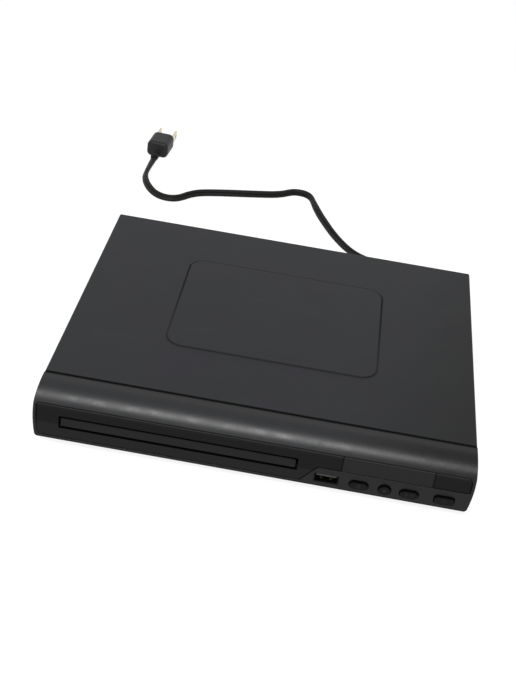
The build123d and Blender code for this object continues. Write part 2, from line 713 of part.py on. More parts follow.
def make_feet():
    """Round rubber feet with a rounded rim and a peg through the pan."""
    feet = []
    for x, y in foot_places():
        pad = disc(x, y, 0, PAN_Z, FOOT_R)
        pad = fillet(pad.edges().group_by(Axis.Z)[0], 1.2)
        feet.append(pad + disc(x, y, PAN_Z, PAN_TOP + FOOT_PEG_TOP, FOOT_PEG_R))
    return Compound(children=feet)


def involute_gear(module, teeth, phase):
    """The outline of a spur gear, with involute flanks, one tooth at the given angle."""
    pitch_r = module * teeth / 2
    base_r = pitch_r * math.cos(math.radians(GEAR_ANGLE))
    tip_r = pitch_r + ADDENDUM * module
    root_r = pitch_r - DEDENDUM * module
    pressure = math.radians(GEAR_ANGLE)
    half = (math.pi * module / 2 - BACKLASH / 2) / pitch_r / 2 + math.tan(pressure) - pressure
    roll_end = math.sqrt((tip_r / base_r) ** 2 - 1)
    flank = []
    for k in range(5):
        roll = roll_end * k / 4
        flank.append((base_r * math.sqrt(1 + roll**2), half - roll + math.atan(roll)))
    points = []
    for tooth in range(teeth):
        centre = phase + 2 * math.pi * tooth / teeth
        side = [(min(root_r, base_r), half)] + flank
        ordered = [(r, centre - a) for r, a in side] + [(r, centre + a) for r, a in reversed(side)]
        points += [(r * math.cos(a), r * math.sin(a)) for r, a in ordered]
    return make_face(Polyline(*points, close=True))


def rack_outline(x, y0, y1):
    """The rack's outline seen from above: straight-flanked teeth that face left."""
    pitch = math.pi * RACK_MODULE
    slope = math.tan(math.radians(GEAR_ANGLE))
    tip = ADDENDUM * RACK_MODULE
    root = DEDENDUM * RACK_MODULE
    half = (pitch / 2 - BACKLASH / 2) / 2
    points = [(x + RACK_BACK, y0), (x + root, y0)]
    first = math.ceil((y0 + pitch - GEAR_Y) / pitch - 0.5)
    last = math.floor((y1 - pitch - GEAR_Y) / pitch - 0.5)
    for k in range(first, last + 1):
        centre = GEAR_Y + (k + 0.5) * pitch
        points.append((x + root, centre - half - root * slope))
        points.append((x - tip, centre - half + tip * slope))
        points.append((x - tip, centre + half - tip * slope))
        points.append((x + root, centre + half + root * slope))
    points += [(x + root, y1), (x + RACK_BACK, y1)]
    return make_face(Polyline(*points, close=True))


def make_tray():
    """The disc tray: recessed floor, long slot for the deck, side rails, rack below."""
    half = TRAY_W / 2
    body = slab(TRAY_X - half, TRAY_X + half, TRAY_FRONT, TRAY_REAR, TRAY_Z, TRAY_TOP)
    body = fillet(body.edges().filter_by(Axis.Z).group_by(Axis.Y)[-1], 4.0)
    inner = half - TRAY_RAIL
    body -= slab(TRAY_X - inner, TRAY_X + inner, TRAY_FRONT - 1, TRAY_REAR + 1, TRAY_Z - 1, FLOOR_Z)
    body -= disc(TRAY_X, DISC_Y, POCKET_Z, TRAY_TOP + 1, POCKET_R)
    body -= disc(TRAY_X, DISC_Y, POCKET_Z - SMALL_DISC_DEPTH, POCKET_Z + 1, SMALL_DISC_R)
    slot_rear = TRAY_REAR - BRIDGE_RIB / 2
    body -= disc(TRAY_X, DISC_Y, TRAY_Z - 1, TRAY_TOP + 1, TRAY_SLOT_R)
    x0, x1 = TRAY_X - TRAY_SLOT_R, TRAY_X + TRAY_SLOT_R
    body -= slab(x0, x1, DISC_Y, TRAY_REAR + 1, TRAY_Z - 1, TRAY_TOP + 1)
    reach = TRAY_SLOT_R + 3.0
    body += slab(TRAY_X - reach, TRAY_X + reach, slot_rear, TRAY_REAR, TRAY_TOP - BRIDGE_RIB_T, TRAY_TOP)
    rack = Pos(0, 0, TRAY_Z) * rack_outline(TRAY_X + RACK_X, GEAR_Y - 9.0, GEAR_Y + TRAY_TRAVEL + 9.0)
    body += extrude(rack, FLOOR_Z - TRAY_Z + 0.2)
    for side in (-1, 1):
        ear = TRAY_X + side * 40.0
        body += slab(ear - 5.0, ear + 5.0, TRAY_FRONT, TRAY_FRONT + 2.4, TRAY_Z, FLOOR_Z + 0.2)
    return body


def make_tray_gear():
    """The compound gear: a wheel below, driven by the belt pulley, and the rack's pinion above."""
    wheel = extrude(Pos(0, 0, WHEEL_Z) * involute_gear(TRAIN_MODULE, WHEEL_TEETH, math.pi), WHEEL_T)
    web = disc(0, 0, WHEEL_Z + WHEEL_T - 0.8, WHEEL_Z + WHEEL_T + 1, WHEEL_R - 3.0)
    web -= disc(0, 0, WHEEL_Z, WHEEL_Z + WHEEL_T + 2, RACK_PITCH_R + 1.4)
    pinion = Pos(0, 0, WHEEL_Z + WHEEL_T) * involute_gear(RACK_MODULE, RACK_PINION_TEETH, 0)
    gear = wheel - web + extrude(pinion, RACK_PINION_TOP - WHEEL_Z - WHEEL_T)
    gear -= disc(0, 0, WHEEL_Z - 1, RACK_PINION_TOP + 1, GEAR_BORE_R)
    return Pos(GEAR_X, GEAR_Y, 0) * gear


def grooved(radius, z0, z1):
    """A pulley rim with a round groove for the belt."""
    rim = disc(0, 0, z0, z1, radius + BELT_R)
    groove = Torus(radius + BELT_SEAT + BELT_R, BELT_R + BELT_SEAT)
    return rim - Pos(0, 0, (z0 + z1) / 2) * groove


def make_belt_pulley():
    """The pulley below and its pinion above, in mesh with the wheel."""
    phase = math.pi / PINION_TEETH
    pulley = grooved(PULLEY_R, PULLEY_Z, PULLEY_Z + PULLEY_T)
    pinion = Pos(0, 0, PULLEY_Z + PULLEY_T) * involute_gear(TRAIN_MODULE, PINION_TEETH, phase)
    pulley += extrude(pinion, RUNNING_GAP + WHEEL_T)
    pulley -= disc(0, 0, PULLEY_Z - 1, WHEEL_Z + WHEEL_T + 1, GEAR_BORE_R)
    return Pos(BELT_PULLEY_X, GEAR_Y, 0) * pulley


def make_motor_pulley():
    """The small pulley on the tray motor's shaft, with the shaft."""
    pulley = grooved(MOTOR_PULLEY_R, PULLEY_Z, PULLEY_Z + PULLEY_T)
    ear_z = PULLEY_Z + PULLEY_T + MOTOR_EAR_GAP
    shaft = disc(0, 0, PULLEY_Z + 0.2, ear_z + MOTOR_EAR_T + 6.0, MOTOR_SHAFT_R)
    return Pos(MOTOR_X, MOTOR_Y, 0) * (pulley + shaft)


def make_belt():
    """The round belt, stretched over the two pulleys."""
    big_r = PULLEY_R + BELT_SEAT + BELT_R
    small_r = MOTOR_PULLEY_R + BELT_SEAT + BELT_R
    span = Vector(MOTOR_X - BELT_PULLEY_X, MOTOR_Y - GEAR_Y)
    heading = math.atan2(span.Y, span.X)
    lean = math.acos((big_r - small_r) / span.length)
    z = PULLEY_Z + PULLEY_T / 2
    big = Vector(BELT_PULLEY_X, GEAR_Y, z)
    small = Vector(MOTOR_X, MOTOR_Y, z)

    def on(centre, radius, angle):
        return centre + Vector(radius * math.cos(angle), radius * math.sin(angle), 0)

    top = Line(on(big, big_r, heading + lean), on(small, small_r, heading + lean))
    round_small = ThreePointArc(
        on(small, small_r, heading + lean), on(small, small_r, heading), on(small, small_r, heading - lean)
    )
    low = Line(on(small, small_r, heading - lean), on(big, big_r, heading - lean))
    round_big = ThreePointArc(
        on(big, big_r, heading - lean), on(big, big_r, heading + math.pi), on(big, big_r, heading + lean)
    )
    path = Wire([top, round_small, low, round_big])
    start = Plane(origin=path @ 0, z_dir=path % 0)
    return sweep(start * Circle(BELT_R), path=path)


def make_tray_motor():
    """The tray motor, hung upside down on the frame's ear."""
    base = PULLEY_Z + PULLEY_T + MOTOR_EAR_GAP + MOTOR_EAR_T
    can = disc(MOTOR_X, MOTOR_Y, base, base + MOTOR_H, MOTOR_R)
    can = fillet(can.edges().group_by(Axis.Z)[-1], 1.0)
    can += disc(MOTOR_X, MOTOR_Y, base + MOTOR_H, base + MOTOR_H + 1.0, 3.0)
    return can - disc(MOTOR_X, MOTOR_Y, base - 1, base + 6.2, MOTOR_SHAFT_R + 0.06)


def make_frame():
    """The loader's moulded frame: base, side walls with tray guides, gear posts, hinge bosses."""
    x0, x1 = TRAY_X - FRAME_OUTER, TRAY_X + FRAME_OUTER
    base = slab(x0, x1, FRAME_FRONT_Y, FRAME_REAR_Y, FRAME_Z, FRAME_FLOOR)
    opening_x0, opening_x1 = TRAY_X - DECK_OPENING, TRAY_X + DECK_OPENING
    opening_y0, opening_y1 = WELL_FRONT + 1.0, FRAME_REAR_Y - 14.0
    base -= slab(opening_x0, opening_x1, opening_y0, opening_y1, FRAME_Z - 1, FRAME_FLOOR + 1)
    for side in (-1, 1):
        wall_in = TRAY_X + side * FRAME_INNER
        wall_out = TRAY_X + side * FRAME_OUTER
        base += slab(*sorted((wall_in, wall_out)), FRAME_FRONT_Y, FRAME_REAR_Y, FRAME_Z, FRAME_TOP)
        ledge = wall_in - side * GUIDE_LEDGE
        base += slab(*sorted((wall_in, ledge)), FRAME_FRONT_Y, FRAME_REAR_Y, LEDGE_Z - 2.0, LEDGE_Z)
        lip = wall_in - side * GUIDE_LIP
        lip_z = TRAY_TOP + RUNNING_GAP
        for y in (FRAME_FRONT_Y, (FRAME_FRONT_Y + FRAME_REAR_Y) / 2 + 6.0, FRAME_REAR_Y - 34.0):
            base += slab(*sorted((wall_in, lip)), y, y + 14.0, lip_z, lip_z + GUIDE_LIP_T)
    wall_x = TRAY_X + FRAME_INNER
    ear_z = PULLEY_Z + PULLEY_T + MOTOR_EAR_GAP
    ear = slab(wall_x + 1, MOTOR_X, MOTOR_Y - MOTOR_R, MOTOR_Y + MOTOR_R, ear_z, ear_z + MOTOR_EAR_T)
    ear += disc(MOTOR_X, MOTOR_Y, ear_z, ear_z + MOTOR_EAR_T, MOTOR_R)
    base += ear - disc(MOTOR_X, MOTOR_Y, ear_z - 1, ear_z + 3, 2.2)
    belt_low, belt_high = PULLEY_Z - 0.2, PULLEY_Z + PULLEY_T + 0.2
    base -= slab(wall_x - 1, x1 + 1, GEAR_Y - 12.0, GEAR_Y + 16.0, belt_low, belt_high)
    for x in (GEAR_X, BELT_PULLEY_X):
        top = WHEEL_Z + WHEEL_T + 1.6 if x == GEAR_X else WHEEL_Z + WHEEL_T + 0.4
        base += disc(x, GEAR_Y, FRAME_Z, top, POST_R)
    base += disc(GEAR_X, GEAR_Y, FRAME_Z, WHEEL_Z - 0.1, 3.0)
    base += disc(BELT_PULLEY_X, GEAR_Y, FRAME_Z, PULLEY_Z - 0.1, 3.0)
    for side in (-1, 1):
        inner = TRAY_X + side * (DECK_HALF_W + 1.4)
        outer = TRAY_X + side * (DECK_HALF_W + 7.0)
        boss = slab(*sorted((inner, outer)), DECK_HINGE_Y - 4.0, DECK_HINGE_Y + 4.0, FRAME_Z, LEDGE_Z - 0.3)
        bore_in = TRAY_X + side * (DECK_HALF_W + HINGE_PIN_L + 0.6)
        boss -= rod_x(DECK_HINGE_Y, DECK_HINGE_Z, *sorted((inner - side, bore_in)), HINGE_BORE_R)
        base += boss
    for x, y in frame_feet():
        base -= disc(x, y, FRAME_Z - 1, FRAME_FLOOR + 1, SCREW_R + 0.2)
    for x, y in bridge_screw_places():
        base -= disc(x, y, FRAME_TOP - 4.0, FRAME_TOP + 1, 0.75)
    return base


def bridge_screw_places():
    """The clamp bridge's screws, one near each end of its two edges."""
    x = FRAME_INNER + FRAME_WALL / 2
    return [(TRAY_X + s * x, DISC_Y + dy) for s in (-1, 1) for dy in (-12.0, 12.0)]


def small_screw(x, y, z, length):
    """A slim screw standing on the given point, with its shank below."""
    head = disc(x, y, z, z + 1.0, 1.6)
    return head + disc(x, y, z - length, z, 0.7)


def make_clamp_bridge():
    """The plate that spans the walls and carries the clamp."""
    reach = FRAME_OUTER
    plate = slab(TRAY_X - reach, TRAY_X + reach, DISC_Y - 18.0, DISC_Y + 18.0, FRAME_TOP, FRAME_TOP + 1.2)
    for side in (-1, 1):
        y0, y1 = sorted((DISC_Y + side * 18.0, DISC_Y + side * 17.0))
        plate += slab(TRAY_X - reach + 6.0, TRAY_X + reach - 6.0, y0, y1, FRAME_TOP, FRAME_TOP + 3.4)
    plate -= disc(TRAY_X, DISC_Y, FRAME_TOP - 1, FRAME_TOP + 2, CLAMP_HOLE_R)
    for x, y in bridge_screw_places():
        plate -= disc(x, y, FRAME_TOP - 1, FRAME_TOP + 2, 0.75)
    return plate


def make_clamp_disc():
    """The clamp's lower half: a flange that presses the disc, and a neck through the bridge."""
    flange_z = TRAY_TOP + 0.5
    clamp = disc(TRAY_X, DISC_Y, flange_z, flange_z + 1.4, CLAMP_R)
    clamp += disc(TRAY_X, DISC_Y, flange_z + 1.4, FRAME_TOP + 1.6, CLAMP_HOLE_R - 1.0)
    return clamp - disc(TRAY_X, DISC_Y, flange_z - 1, flange_z + 1.0, HUB_R + 0.8)


def make_clamp_cap():
    """The clamp's cap, which rests just above the bridge."""
    z = FRAME_TOP + 1.6
    cap = disc(TRAY_X, DISC_Y, z, z + 1.2, CLAMP_R - 0.6)
    return fillet(cap.edges().group_by(Axis.Z)[-1], 0.5)


def make_deck_frame():
    """The tilting sub-frame: a rim with corner ledges, hinge pins behind and cam pins in front."""
    top = DECK_Z + DECK_FRAME_T + 0.6
    x0, x1 = TRAY_X - DECK_HALF_W, TRAY_X + DECK_HALF_W
    rim = slab(x0, x1, DECK_FRONT, DECK_REAR, DECK_Z, top)
    inner = DECK_HALF_W - 2.0
    rim -= slab(TRAY_X - inner, TRAY_X + inner, DECK_FRONT + 2.0, DECK_REAR - 2.0, DECK_Z - 1, top + 1)
    for x, y in damper_places():
        ledge = slab(x - 4.5, x + 4.5, y - 4.5, y + 4.5, DECK_Z, DECK_Z + DECK_LEDGE_T)
        rim += ledge
        rim += disc(x, y, DECK_Z, PLATE_TOP + 0.4, 1.4)
    for side in (-1, 1):
        arm_in = TRAY_X + side * (DECK_HALF_W - 4.0)
        arm_out = TRAY_X + side * DECK_HALF_W
        rim += slab(*sorted((arm_in, arm_out)), DECK_REAR - 2.0, DECK_HINGE_Y + 2.0, DECK_Z + 0.6, top)
        pin_end = TRAY_X + side * (DECK_HALF_W + HINGE_PIN_L)
        rim += rod_x(DECK_HINGE_Y, DECK_HINGE_Z, *sorted((arm_in, pin_end)), HINGE_PIN_R)
        pin_x = TRAY_X + side * CAM_PIN_X
        rim += rod_y(pin_x, cam_pin_z(), CAM_Y + 0.2, DECK_FRONT + 1, CAM_PIN_R)
    return rim


def cam_pin_z():
    """The height of the cam pins with the deck up."""
    return DECK_Z + DECK_FRAME_T / 2 + 0.6


def damper_places():
    """The four rubber dampers, inside the rim's corners."""
    x = DECK_HALF_W - 6.6
    return [(TRAY_X + s * x, y) for s in (-1, 1) for y in (DECK_FRONT + 6.6, DECK_REAR - 6.6)]


def make_dampers():
    """Rubber dampers between the sub-frame's ledges and the deck plate."""
    dampers = []
    for x, y in damper_places():
        damper = disc(x, y, DECK_Z + DECK_LEDGE_T, PLATE_Z, DAMPER_R)
        dampers.append(damper - disc(x, y, DECK_Z, PLATE_TOP, 1.5))
    return Compound(children=dampers)


def make_deck_plate():
    """The steel plate that carries the spindle motor, the rods and the sled motor."""
    inset = 2.8
    half = DECK_HALF_W - inset
    plate = slab(TRAY_X - half, TRAY_X + half, DECK_FRONT + inset, DECK_REAR - inset, PLATE_Z, PLATE_TOP)
    plate -= disc(TRAY_X, DISC_Y, PLATE_Z - 1, PLATE_TOP + 1, SPINDLE_MOTOR_R + 0.2)
    y0, y1 = pickup_opening()
    plate -= slab(TRAY_X - ROD_X - 4.5, TRAY_X + SCREW_X + 4.6, y0, y1, PLATE_Z - 1, PLATE_TOP + 1)
    for side in (-1, 1):
        x = TRAY_X + side * ROD_X
        plate -= slab(x - ROD_R, x + ROD_R, y0 - 4.0, y1 + 4.0, PLATE_Z - 1, PLATE_TOP + 1)
    for x, y in damper_places():
        plate -= disc(x, y, PLATE_Z - 1, PLATE_TOP + 1, 1.5)
    return plate


def pickup_opening():
    """The deck plate's opening from front to back."""
    return DISC_Y + TURNTABLE_R + 0.8, DISC_Y + LENS_RADIUS_IN + PICKUP_TRAVEL + 24.0


def make_spindle_motor():
    """The flat spindle motor, with a flange on the deck plate."""
    bottom = PLATE_Z - 2.4
    motor = disc(TRAY_X, DISC_Y, bottom, PLATE_TOP + 2.0, SPINDLE_MOTOR_R)
    motor += disc(TRAY_X, DISC_Y, PLATE_TOP, PLATE_TOP + 0.8, SPINDLE_MOTOR_R + 3.0)
    return motor - disc(TRAY_X, DISC_Y, bottom + 1.0, PLATE_TOP + 3, MOTOR_SHAFT_R + 0.06)


def make_turntable():
    """The turntable: shaft, plate and the tapered hub that centres the disc."""
    plate_z = DISC_PLANE - 2.0
    table = disc(TRAY_X, DISC_Y, plate_z, DISC_PLANE - 0.5, TURNTABLE_R)
    table += disc(TRAY_X, DISC_Y, DISC_PLANE - 0.5, DISC_PLANE + 0.8, HUB_R)
    cone = Pos(TRAY_X, DISC_Y, DISC_PLANE + 0.8 + HUB_H / 2 - 0.4) * Cone(HUB_R, HUB_R - 2.2, HUB_H - 0.8)
    table += cone
    table += disc(TRAY_X, DISC_Y, plate_z - 0.8, plate_z, 4.0)
    return table + disc(TRAY_X, DISC_Y, PLATE_Z - 1.0, plate_z, MOTOR_SHAFT_R)


def make_turntable_pad():
    """The rubber ring on which the disc lies."""
    pad = disc(TRAY_X, DISC_Y, DISC_PLANE - 0.5, DISC_PLANE, TURNTABLE_R - 0.3)
    return pad - disc(TRAY_X, DISC_Y, DISC_PLANE - 1, DISC_PLANE + 1, HUB_R + 2.2)


def rod_span():
    """The guide rods' ends."""
    y0, y1 = pickup_opening()
    return y0 - 4.0, y1 + 4.0


def make_guide_rods():
    """Two steel rods on which the pickup slides."""
    y0, y1 = rod_span()
    rods = [rod_y(TRAY_X + side * ROD_X, ROD_Z, y0, y1, ROD_R) for side in (-1, 1)]
    return Compound(children=rods)


def make_rod_clips():
    """The saddles that hold the rods' ends on the deck plate."""
    clips = []
    y0, y1 = rod_span()
    for side in (-1, 1):
        x = TRAY_X + side * ROD_X
        for low in (y0, y1 - 3.8):
            clip = slab(x - 2.3, x + 2.3, low, low + 3.8, PLATE_TOP, PLATE_TOP + 2.2)
            clips.append(clip - rod_y(x, ROD_Z, low - 1, low + 5, ROD_R))
    return Compound(children=clips)


def make_pickup():
    """The optical pickup: a body with two bearings, a follower for the screw and the lens holder."""
    lens_y = DISC_Y + LENS_RADIUS_IN
    front = lens_y - 7.6
    back = front + 30.0
    low = PLATE_Z - 1.4
    body = slab(TRAY_X - 16.0, TRAY_X + 16.0, front, back, low, RACK_PINION_TOP - 0.3)
    body = chamfer(body.edges().filter_by(Axis.Z), 3.0)
    left = TRAY_X - ROD_X
    body += slab(left - 2.9, TRAY_X - 15.0, front + 6.0, front + 26.0, ROD_Z - 2.4, ROD_Z + 2.3)
    body -= rod_y(left, ROD_Z, front, back, PICKUP_BORE_R)
    right = TRAY_X + ROD_X
    fork = slab(TRAY_X + 15.0, right + 2.9, front + 12.0, front + 20.0, ROD_Z - 2.4, ROD_Z + 2.3)
    fork -= rod_y(right, ROD_Z, front, back, PICKUP_BORE_R)
    screw_x = TRAY_X + SCREW_X
    fork += slab(right + 2.4, screw_x + 1.6, front + 13.0, front + 19.0, ROD_Z + 0.6, ROD_Z + 2.3)
    body += fork
    return body + disc(TRAY_X, lens_y, RACK_PINION_TOP - 0.4, LENS_TOP - 0.6, 6.0)


def make_objective_lens():
    """The small glass dome above the pickup."""
    lens_y = DISC_Y + LENS_RADIUS_IN
    lens = disc(TRAY_X, lens_y, LENS_TOP - 0.6, LENS_TOP, LENS_R)
    return fillet(lens.edges().group_by(Axis.Z)[-1], 0.5)


def sled_screw_z():
    """The height of the sled screw's axis."""
    return PLATE_Z - 0.3


def make_sled_motor():
    """The small stepping motor with its bent bracket, which carries the screw's far end."""
    x = TRAY_X + SCREW_X
    z = sled_screw_z()
    y0, y1 = pickup_opening()
    motor = rod_y(x, z, y1 - 11.0, y1 - 1.0, 4.0)
    bracket = slab(x - 3.0, x + 3.0, y0 + 0.6, y1 - 11.0, z - 3.0, z - 2.2)
    bracket += slab(x - 3.0, x + 3.0, y0 + 0.6, y0 + 1.4, z - 3.0, PLATE_TOP)
    bracket += slab(x - 3.0, x + 3.0, y0 - 3.0, y0 + 1.4, PLATE_TOP, PLATE_TOP + 0.8)
    motor += bracket
    return motor - rod_y(x, z, y0, y1 - 5.0, MOTOR_SHAFT_R + 0.06)


def make_sled_screw():
    """The screw that moves the pickup, with slim journals at its ends."""
    x = TRAY_X + SCREW_X
    z = sled_screw_z()
    y0, y1 = pickup_opening()
    screw = rod_y(x, z, y0 + 1.8, y1 - 11.4, 1.5)
    return screw + rod_y(x, z, y0 + 0.7, y1 - 6.0, MOTOR_SHAFT_R)


def make_cam_slider():
    """The slider that raises the deck: an upright wall with two slanted slots, on a foot."""
    x0 = TRAY_X - CAM_PIN_X - 5.0
    x1 = TRAY_X + CAM_PIN_X + CAM_TRAVEL + 5.0
    pin_z = cam_pin_z()
    low = pin_z - CAM_DROP - CAM_PIN_R - CAM_SLOT_GAP - CAM_WEB
    slider = slab(x0, x1, CAM_Y, CAM_Y + CAM_WALL, low, pin_z + 2.4)
    for side in (-1, 1):
        start = Vector(TRAY_X + side * CAM_PIN_X, pin_z)
        end = start + Vector(CAM_TRAVEL, -CAM_DROP)
        length = (end - start).length
        tilt = -math.degrees(math.atan2(CAM_DROP, CAM_TRAVEL))
        width = 2 * (CAM_PIN_R + CAM_SLOT_GAP)
        middle = Pos((start.X + end.X) / 2, (start.Y + end.Y) / 2)
        slot = middle * Rot(0, 0, tilt) * SlotCenterToCenter(length, width)
        slider -= front_prism(slot, CAM_Y - 1, CAM_Y + CAM_WALL + 1)
    foot_z = FRAME_FLOOR + RUNNING_GAP
    return slider + slab(x0, x1, WELL_FRONT - 2.4, CAM_Y, foot_z, foot_z + 1.2)


def make_front_board():
    """The upright board behind the keys, with a notch for the USB socket."""
    x0, x1 = USB_X - USB_W / 2 - 2.4, HALF_W - BEZEL_WALL - 1.4
    board = slab(x0, x1, FRONT_BOARD_Y, FRONT_BOARD_Y + BOARD_T, PAN_TOP + 1.2, LIP_Z - 0.9)
    x0, x1 = USB_X - USB_W / 2 - 0.2, USB_X + USB_W / 2 + 0.2
    notch_z = FOOT_H + USB_Z + USB_H / 2 + 0.2
    return board - slab(x0, x1, FRONT_BOARD_Y - 1, FRONT_BOARD_Y + 2, PAN_TOP, notch_z)


def make_key_switches():
    """Four small switches on the front board, each with its plunger."""
    switches = []
    for x in (KEY_EJECT_X, KEY_STOP_X, KEY_PLAY_X, KEY_POWER_X):
        z = FOOT_H + KEY_Z + 0.4
        body = slab(x - 3.0, x + 3.0, SWITCH_TIP_Y + 1.0, FRONT_BOARD_Y, z - 3.0, z + 3.0)
        switches.append(body + rod_y(x, z, SWITCH_TIP_Y, SWITCH_TIP_Y + 1.2, 1.7))
    return Compound(children=switches)


def make_display_module():
    """The four-digit display block behind the window."""
    x0, x1 = WINDOW_LEFT + 2.4, WINDOW_RIGHT - 2.4
    return slab(x0, x1, FRONT_BOARD_Y - 5.4, FRONT_BOARD_Y, STEP_Z + 0.9, LIP_Z - 0.9)


def make_usb_port():
    """The USB socket: a folded metal shell with its tongue."""
    z = FOOT_H + USB_Z
    front = FACE_Y + 0.4
    shell = slab(USB_X - USB_W / 2, USB_X + USB_W / 2, front, front + USB_L, z - USB_H / 2, z + USB_H / 2)
    x0, x1 = USB_X - USB_W / 2 + USB_WALL, USB_X + USB_W / 2 - USB_WALL
    inner_h = USB_H / 2 - USB_WALL
    shell -= slab(x0, x1, front - 1, front + USB_L - 1.0, z - inner_h, z + inner_h)
    half = USB_TONGUE_W / 2
    return shell + slab(USB_X - half, USB_X + half, front + 1.6, front + USB_L, z + 0.1, z + 1.9)


def make_boards():
    """The lying boards with their screw holes: main, power and rear sockets."""
    boards = []
    for x0, x1, y0, y1 in board_places():
        board = slab(x0, x1, y0, y1, BOARD_Z, BOARD_TOP)
        for x, y in standoff_places(x0, x1, y0, y1):
            board -= disc(x, y, BOARD_Z - 1, BOARD_TOP + 1, SCREW_R + 0.2)
        boards.append(board)
    return Compound(children=boards)


def make_inner_screws():
    """The screws of the three boards, of the loader frame's feet and of the clamp bridge."""
    screws = []
    for x0, x1, y0, y1 in board_places():
        for x, y in standoff_places(x0, x1, y0, y1):
            head = disc(x, y, BOARD_TOP, BOARD_TOP + SCREW_HEAD_H, SCREW_HEAD_R)
            screws.append(head + disc(x, y, PAN_TOP, BOARD_TOP, SCREW_R))
    for x, y in frame_feet():
        head = disc(x, y, FRAME_FLOOR, FRAME_FLOOR + SCREW_HEAD_H, SCREW_HEAD_R)
        screws.append(head + disc(x, y, PAN_Z + 0.2, FRAME_FLOOR, SCREW_R))
    screws += [small_screw(x, y, FRAME_TOP + 1.2, 4.0) for x, y in bridge_screw_places()]
    return Compound(children=screws)


def on_main(place):
    """A place on the main board, given from its front left corner."""
    return MAIN_X + place[0], MAIN_Y + place[1]


def on_power(place):
    """A place on the power board, given from its front left corner."""
    return POWER_X + place[0], POWER_Y + place[1]


def standing_block(place, size, height):
    """A block that stands on a board, round the given middle."""
    (x, y), (half_w, half_d) = place, (size[0] / 2, size[1] / 2)
    return slab(x - half_w, x + half_w, y - half_d, y + half_d, BOARD_TOP, BOARD_TOP + height)


def standing_can(place, radius, height):
    """A can that stands on a board, with a rounded rim."""
    can = disc(*place, BOARD_TOP, BOARD_TOP + height, radius)
    return fillet(can.edges().group_by(Axis.Z)[-1], radius / 7)


def make_chips():
    """The flat packages on the main board and the infrared receiver on the front board."""
    chips = [
        standing_block(on_main(MAIN_CHIP), (MAIN_CHIP_W, MAIN_CHIP_W), CHIP_T),
        standing_block(on_main(DRIVER_CHIP), DRIVER_CHIP_SIZE, CHIP_T),
        standing_block(on_main(MEMORY_CHIP), MEMORY_CHIP_SIZE, CHIP_T),
    ]
    x0 = WINDOW_RIGHT + RECEIVER_W / 2
    z = (STEP_Z + LIP_Z) / 2
    half = RECEIVER_W / 2 + 0.4
    front = FRONT_BOARD_Y - RECEIVER_W * 2 / 3
    chips.append(slab(x0, x0 + RECEIVER_W, front, FRONT_BOARD_Y, z - half, z + half))
    return Compound(children=chips)


def make_capacitors():
    """Upright capacitors on the main and power boards."""
    cans = [standing_can(on_main((SMALL_CAN_X, y)), SMALL_CAN_R, SMALL_CAN_H) for y in SMALL_CAN_Y]
    cans.append(standing_can(on_main(LONE_CAN), SMALL_CAN_R, SMALL_CAN_H))
    for place in (on_main(MIDDLE_CAN_MAIN), on_power(MIDDLE_CAN_POWER)):
        cans.append(standing_can(place, MIDDLE_CAN_R, MIDDLE_CAN_H))
    for y in LARGE_CAN_Y:
        cans.append(standing_can(on_power((LARGE_CAN_X, y)), LARGE_CAN_R, LARGE_CAN_H))
    cans.append(standing_can(on_power(MAINS_CAN), MAINS_CAN_R, MAINS_CAN_H))
    return Compound(children=cans)


def make_connectors():
    """White wire and ribbon connectors on the boards."""
    ribbon = on_main((RIBBON_FROM_LEFT, RIBBON_SOCKET_IN))
    lead = (RELIEF_X - LEAD_SHIFT, LEAD_Y)
    jack = (JACKS_X + JACK_SOCKET[0], JACKS_Y + JACK_SOCKET[1])
    blocks = [
        standing_block(ribbon, (RIBBON_W + 2.0, 5.0), RIBBON_SOCKET_H),
        standing_block(on_main(MAIN_SOCKET), SOCKET_SIZE[:2], SOCKET_SIZE[2]),
        standing_block(on_power(POWER_SOCKET), SOCKET_SIZE[:2], SOCKET_SIZE[2]),
        standing_block(lead, LEAD_BLOCK_SIZE, LEAD_SOCKET_H),
        standing_block(jack, JACK_SOCKET_SIZE[:2], JACK_SOCKET_SIZE[2]),
    ]
    return Compound(children=blocks)


def make_coils():
    """The switching transformer, a core round its bobbin, and the squat mains choke."""
    place = on_power(TRANSFORMER)
    core = standing_block(place, CORE_SIZE[:2], CORE_SIZE[2])
    core -= standing_block(place, CORE_SIZE[:2], 1.0)
    bobbin = standing_block(place, BOBBIN_SIZE[:2], BOBBIN_SIZE[2])
    choke = standing_block(on_power(CHOKE), CHOKE_SIZE[:2], CHOKE_SIZE[2])
    choke = fillet(choke.edges().filter_by(Axis.Z), COIL_CORNER_R)
    return Compound(children=[core + fillet(bobbin.edges().filter_by(Axis.Z), COIL_CORNER_R), choke])


def make_fuse():
    """The mains fuse, lying in its clips."""
    z = BOARD_TOP + FUSE_UP
    x, y = on_power(FUSE)
    half, clip = FUSE_L / 2, FUSE_CLIP_W / 2
    fuse = rod_x(y, z, x - half, x + half, FUSE_R)
    for clip_x in (x - half + clip, x + half - clip):
        fuse += slab(clip_x - clip, clip_x + clip, y - FUSE_R, y + FUSE_R, BOARD_TOP, z)
    return fuse


def make_heat_sink():
    """The finned heat sink of the power board."""
    x, y = on_power(SINK)
    top = BOARD_TOP + SINK_H
    sink = slab(x, x + SINK_T, y, y + SINK_L, BOARD_TOP, top)
    step = (SINK_L - 2.0 - FIN_T + 0.2) / (FIN_COUNT - 1)
    for k in range(FIN_COUNT):
        fin_y = y + 1.0 + k * step
        sink += slab(x + SINK_T, x + SINK_T + FIN_L, fin_y, fin_y + FIN_T, BOARD_TOP + 2.0, top)
    return sink


def make_av_jacks():
    """The moulded block behind the three phono sockets."""
    x0 = JACK_X - JACK_PITCH / 2
    x1 = JACK_X + 2.5 * JACK_PITCH
    return slab(x0, x1, WALL_Y - SHEET - 11.0, WALL_Y - SHEET, BOARD_TOP, JACK_Z + 7.0)


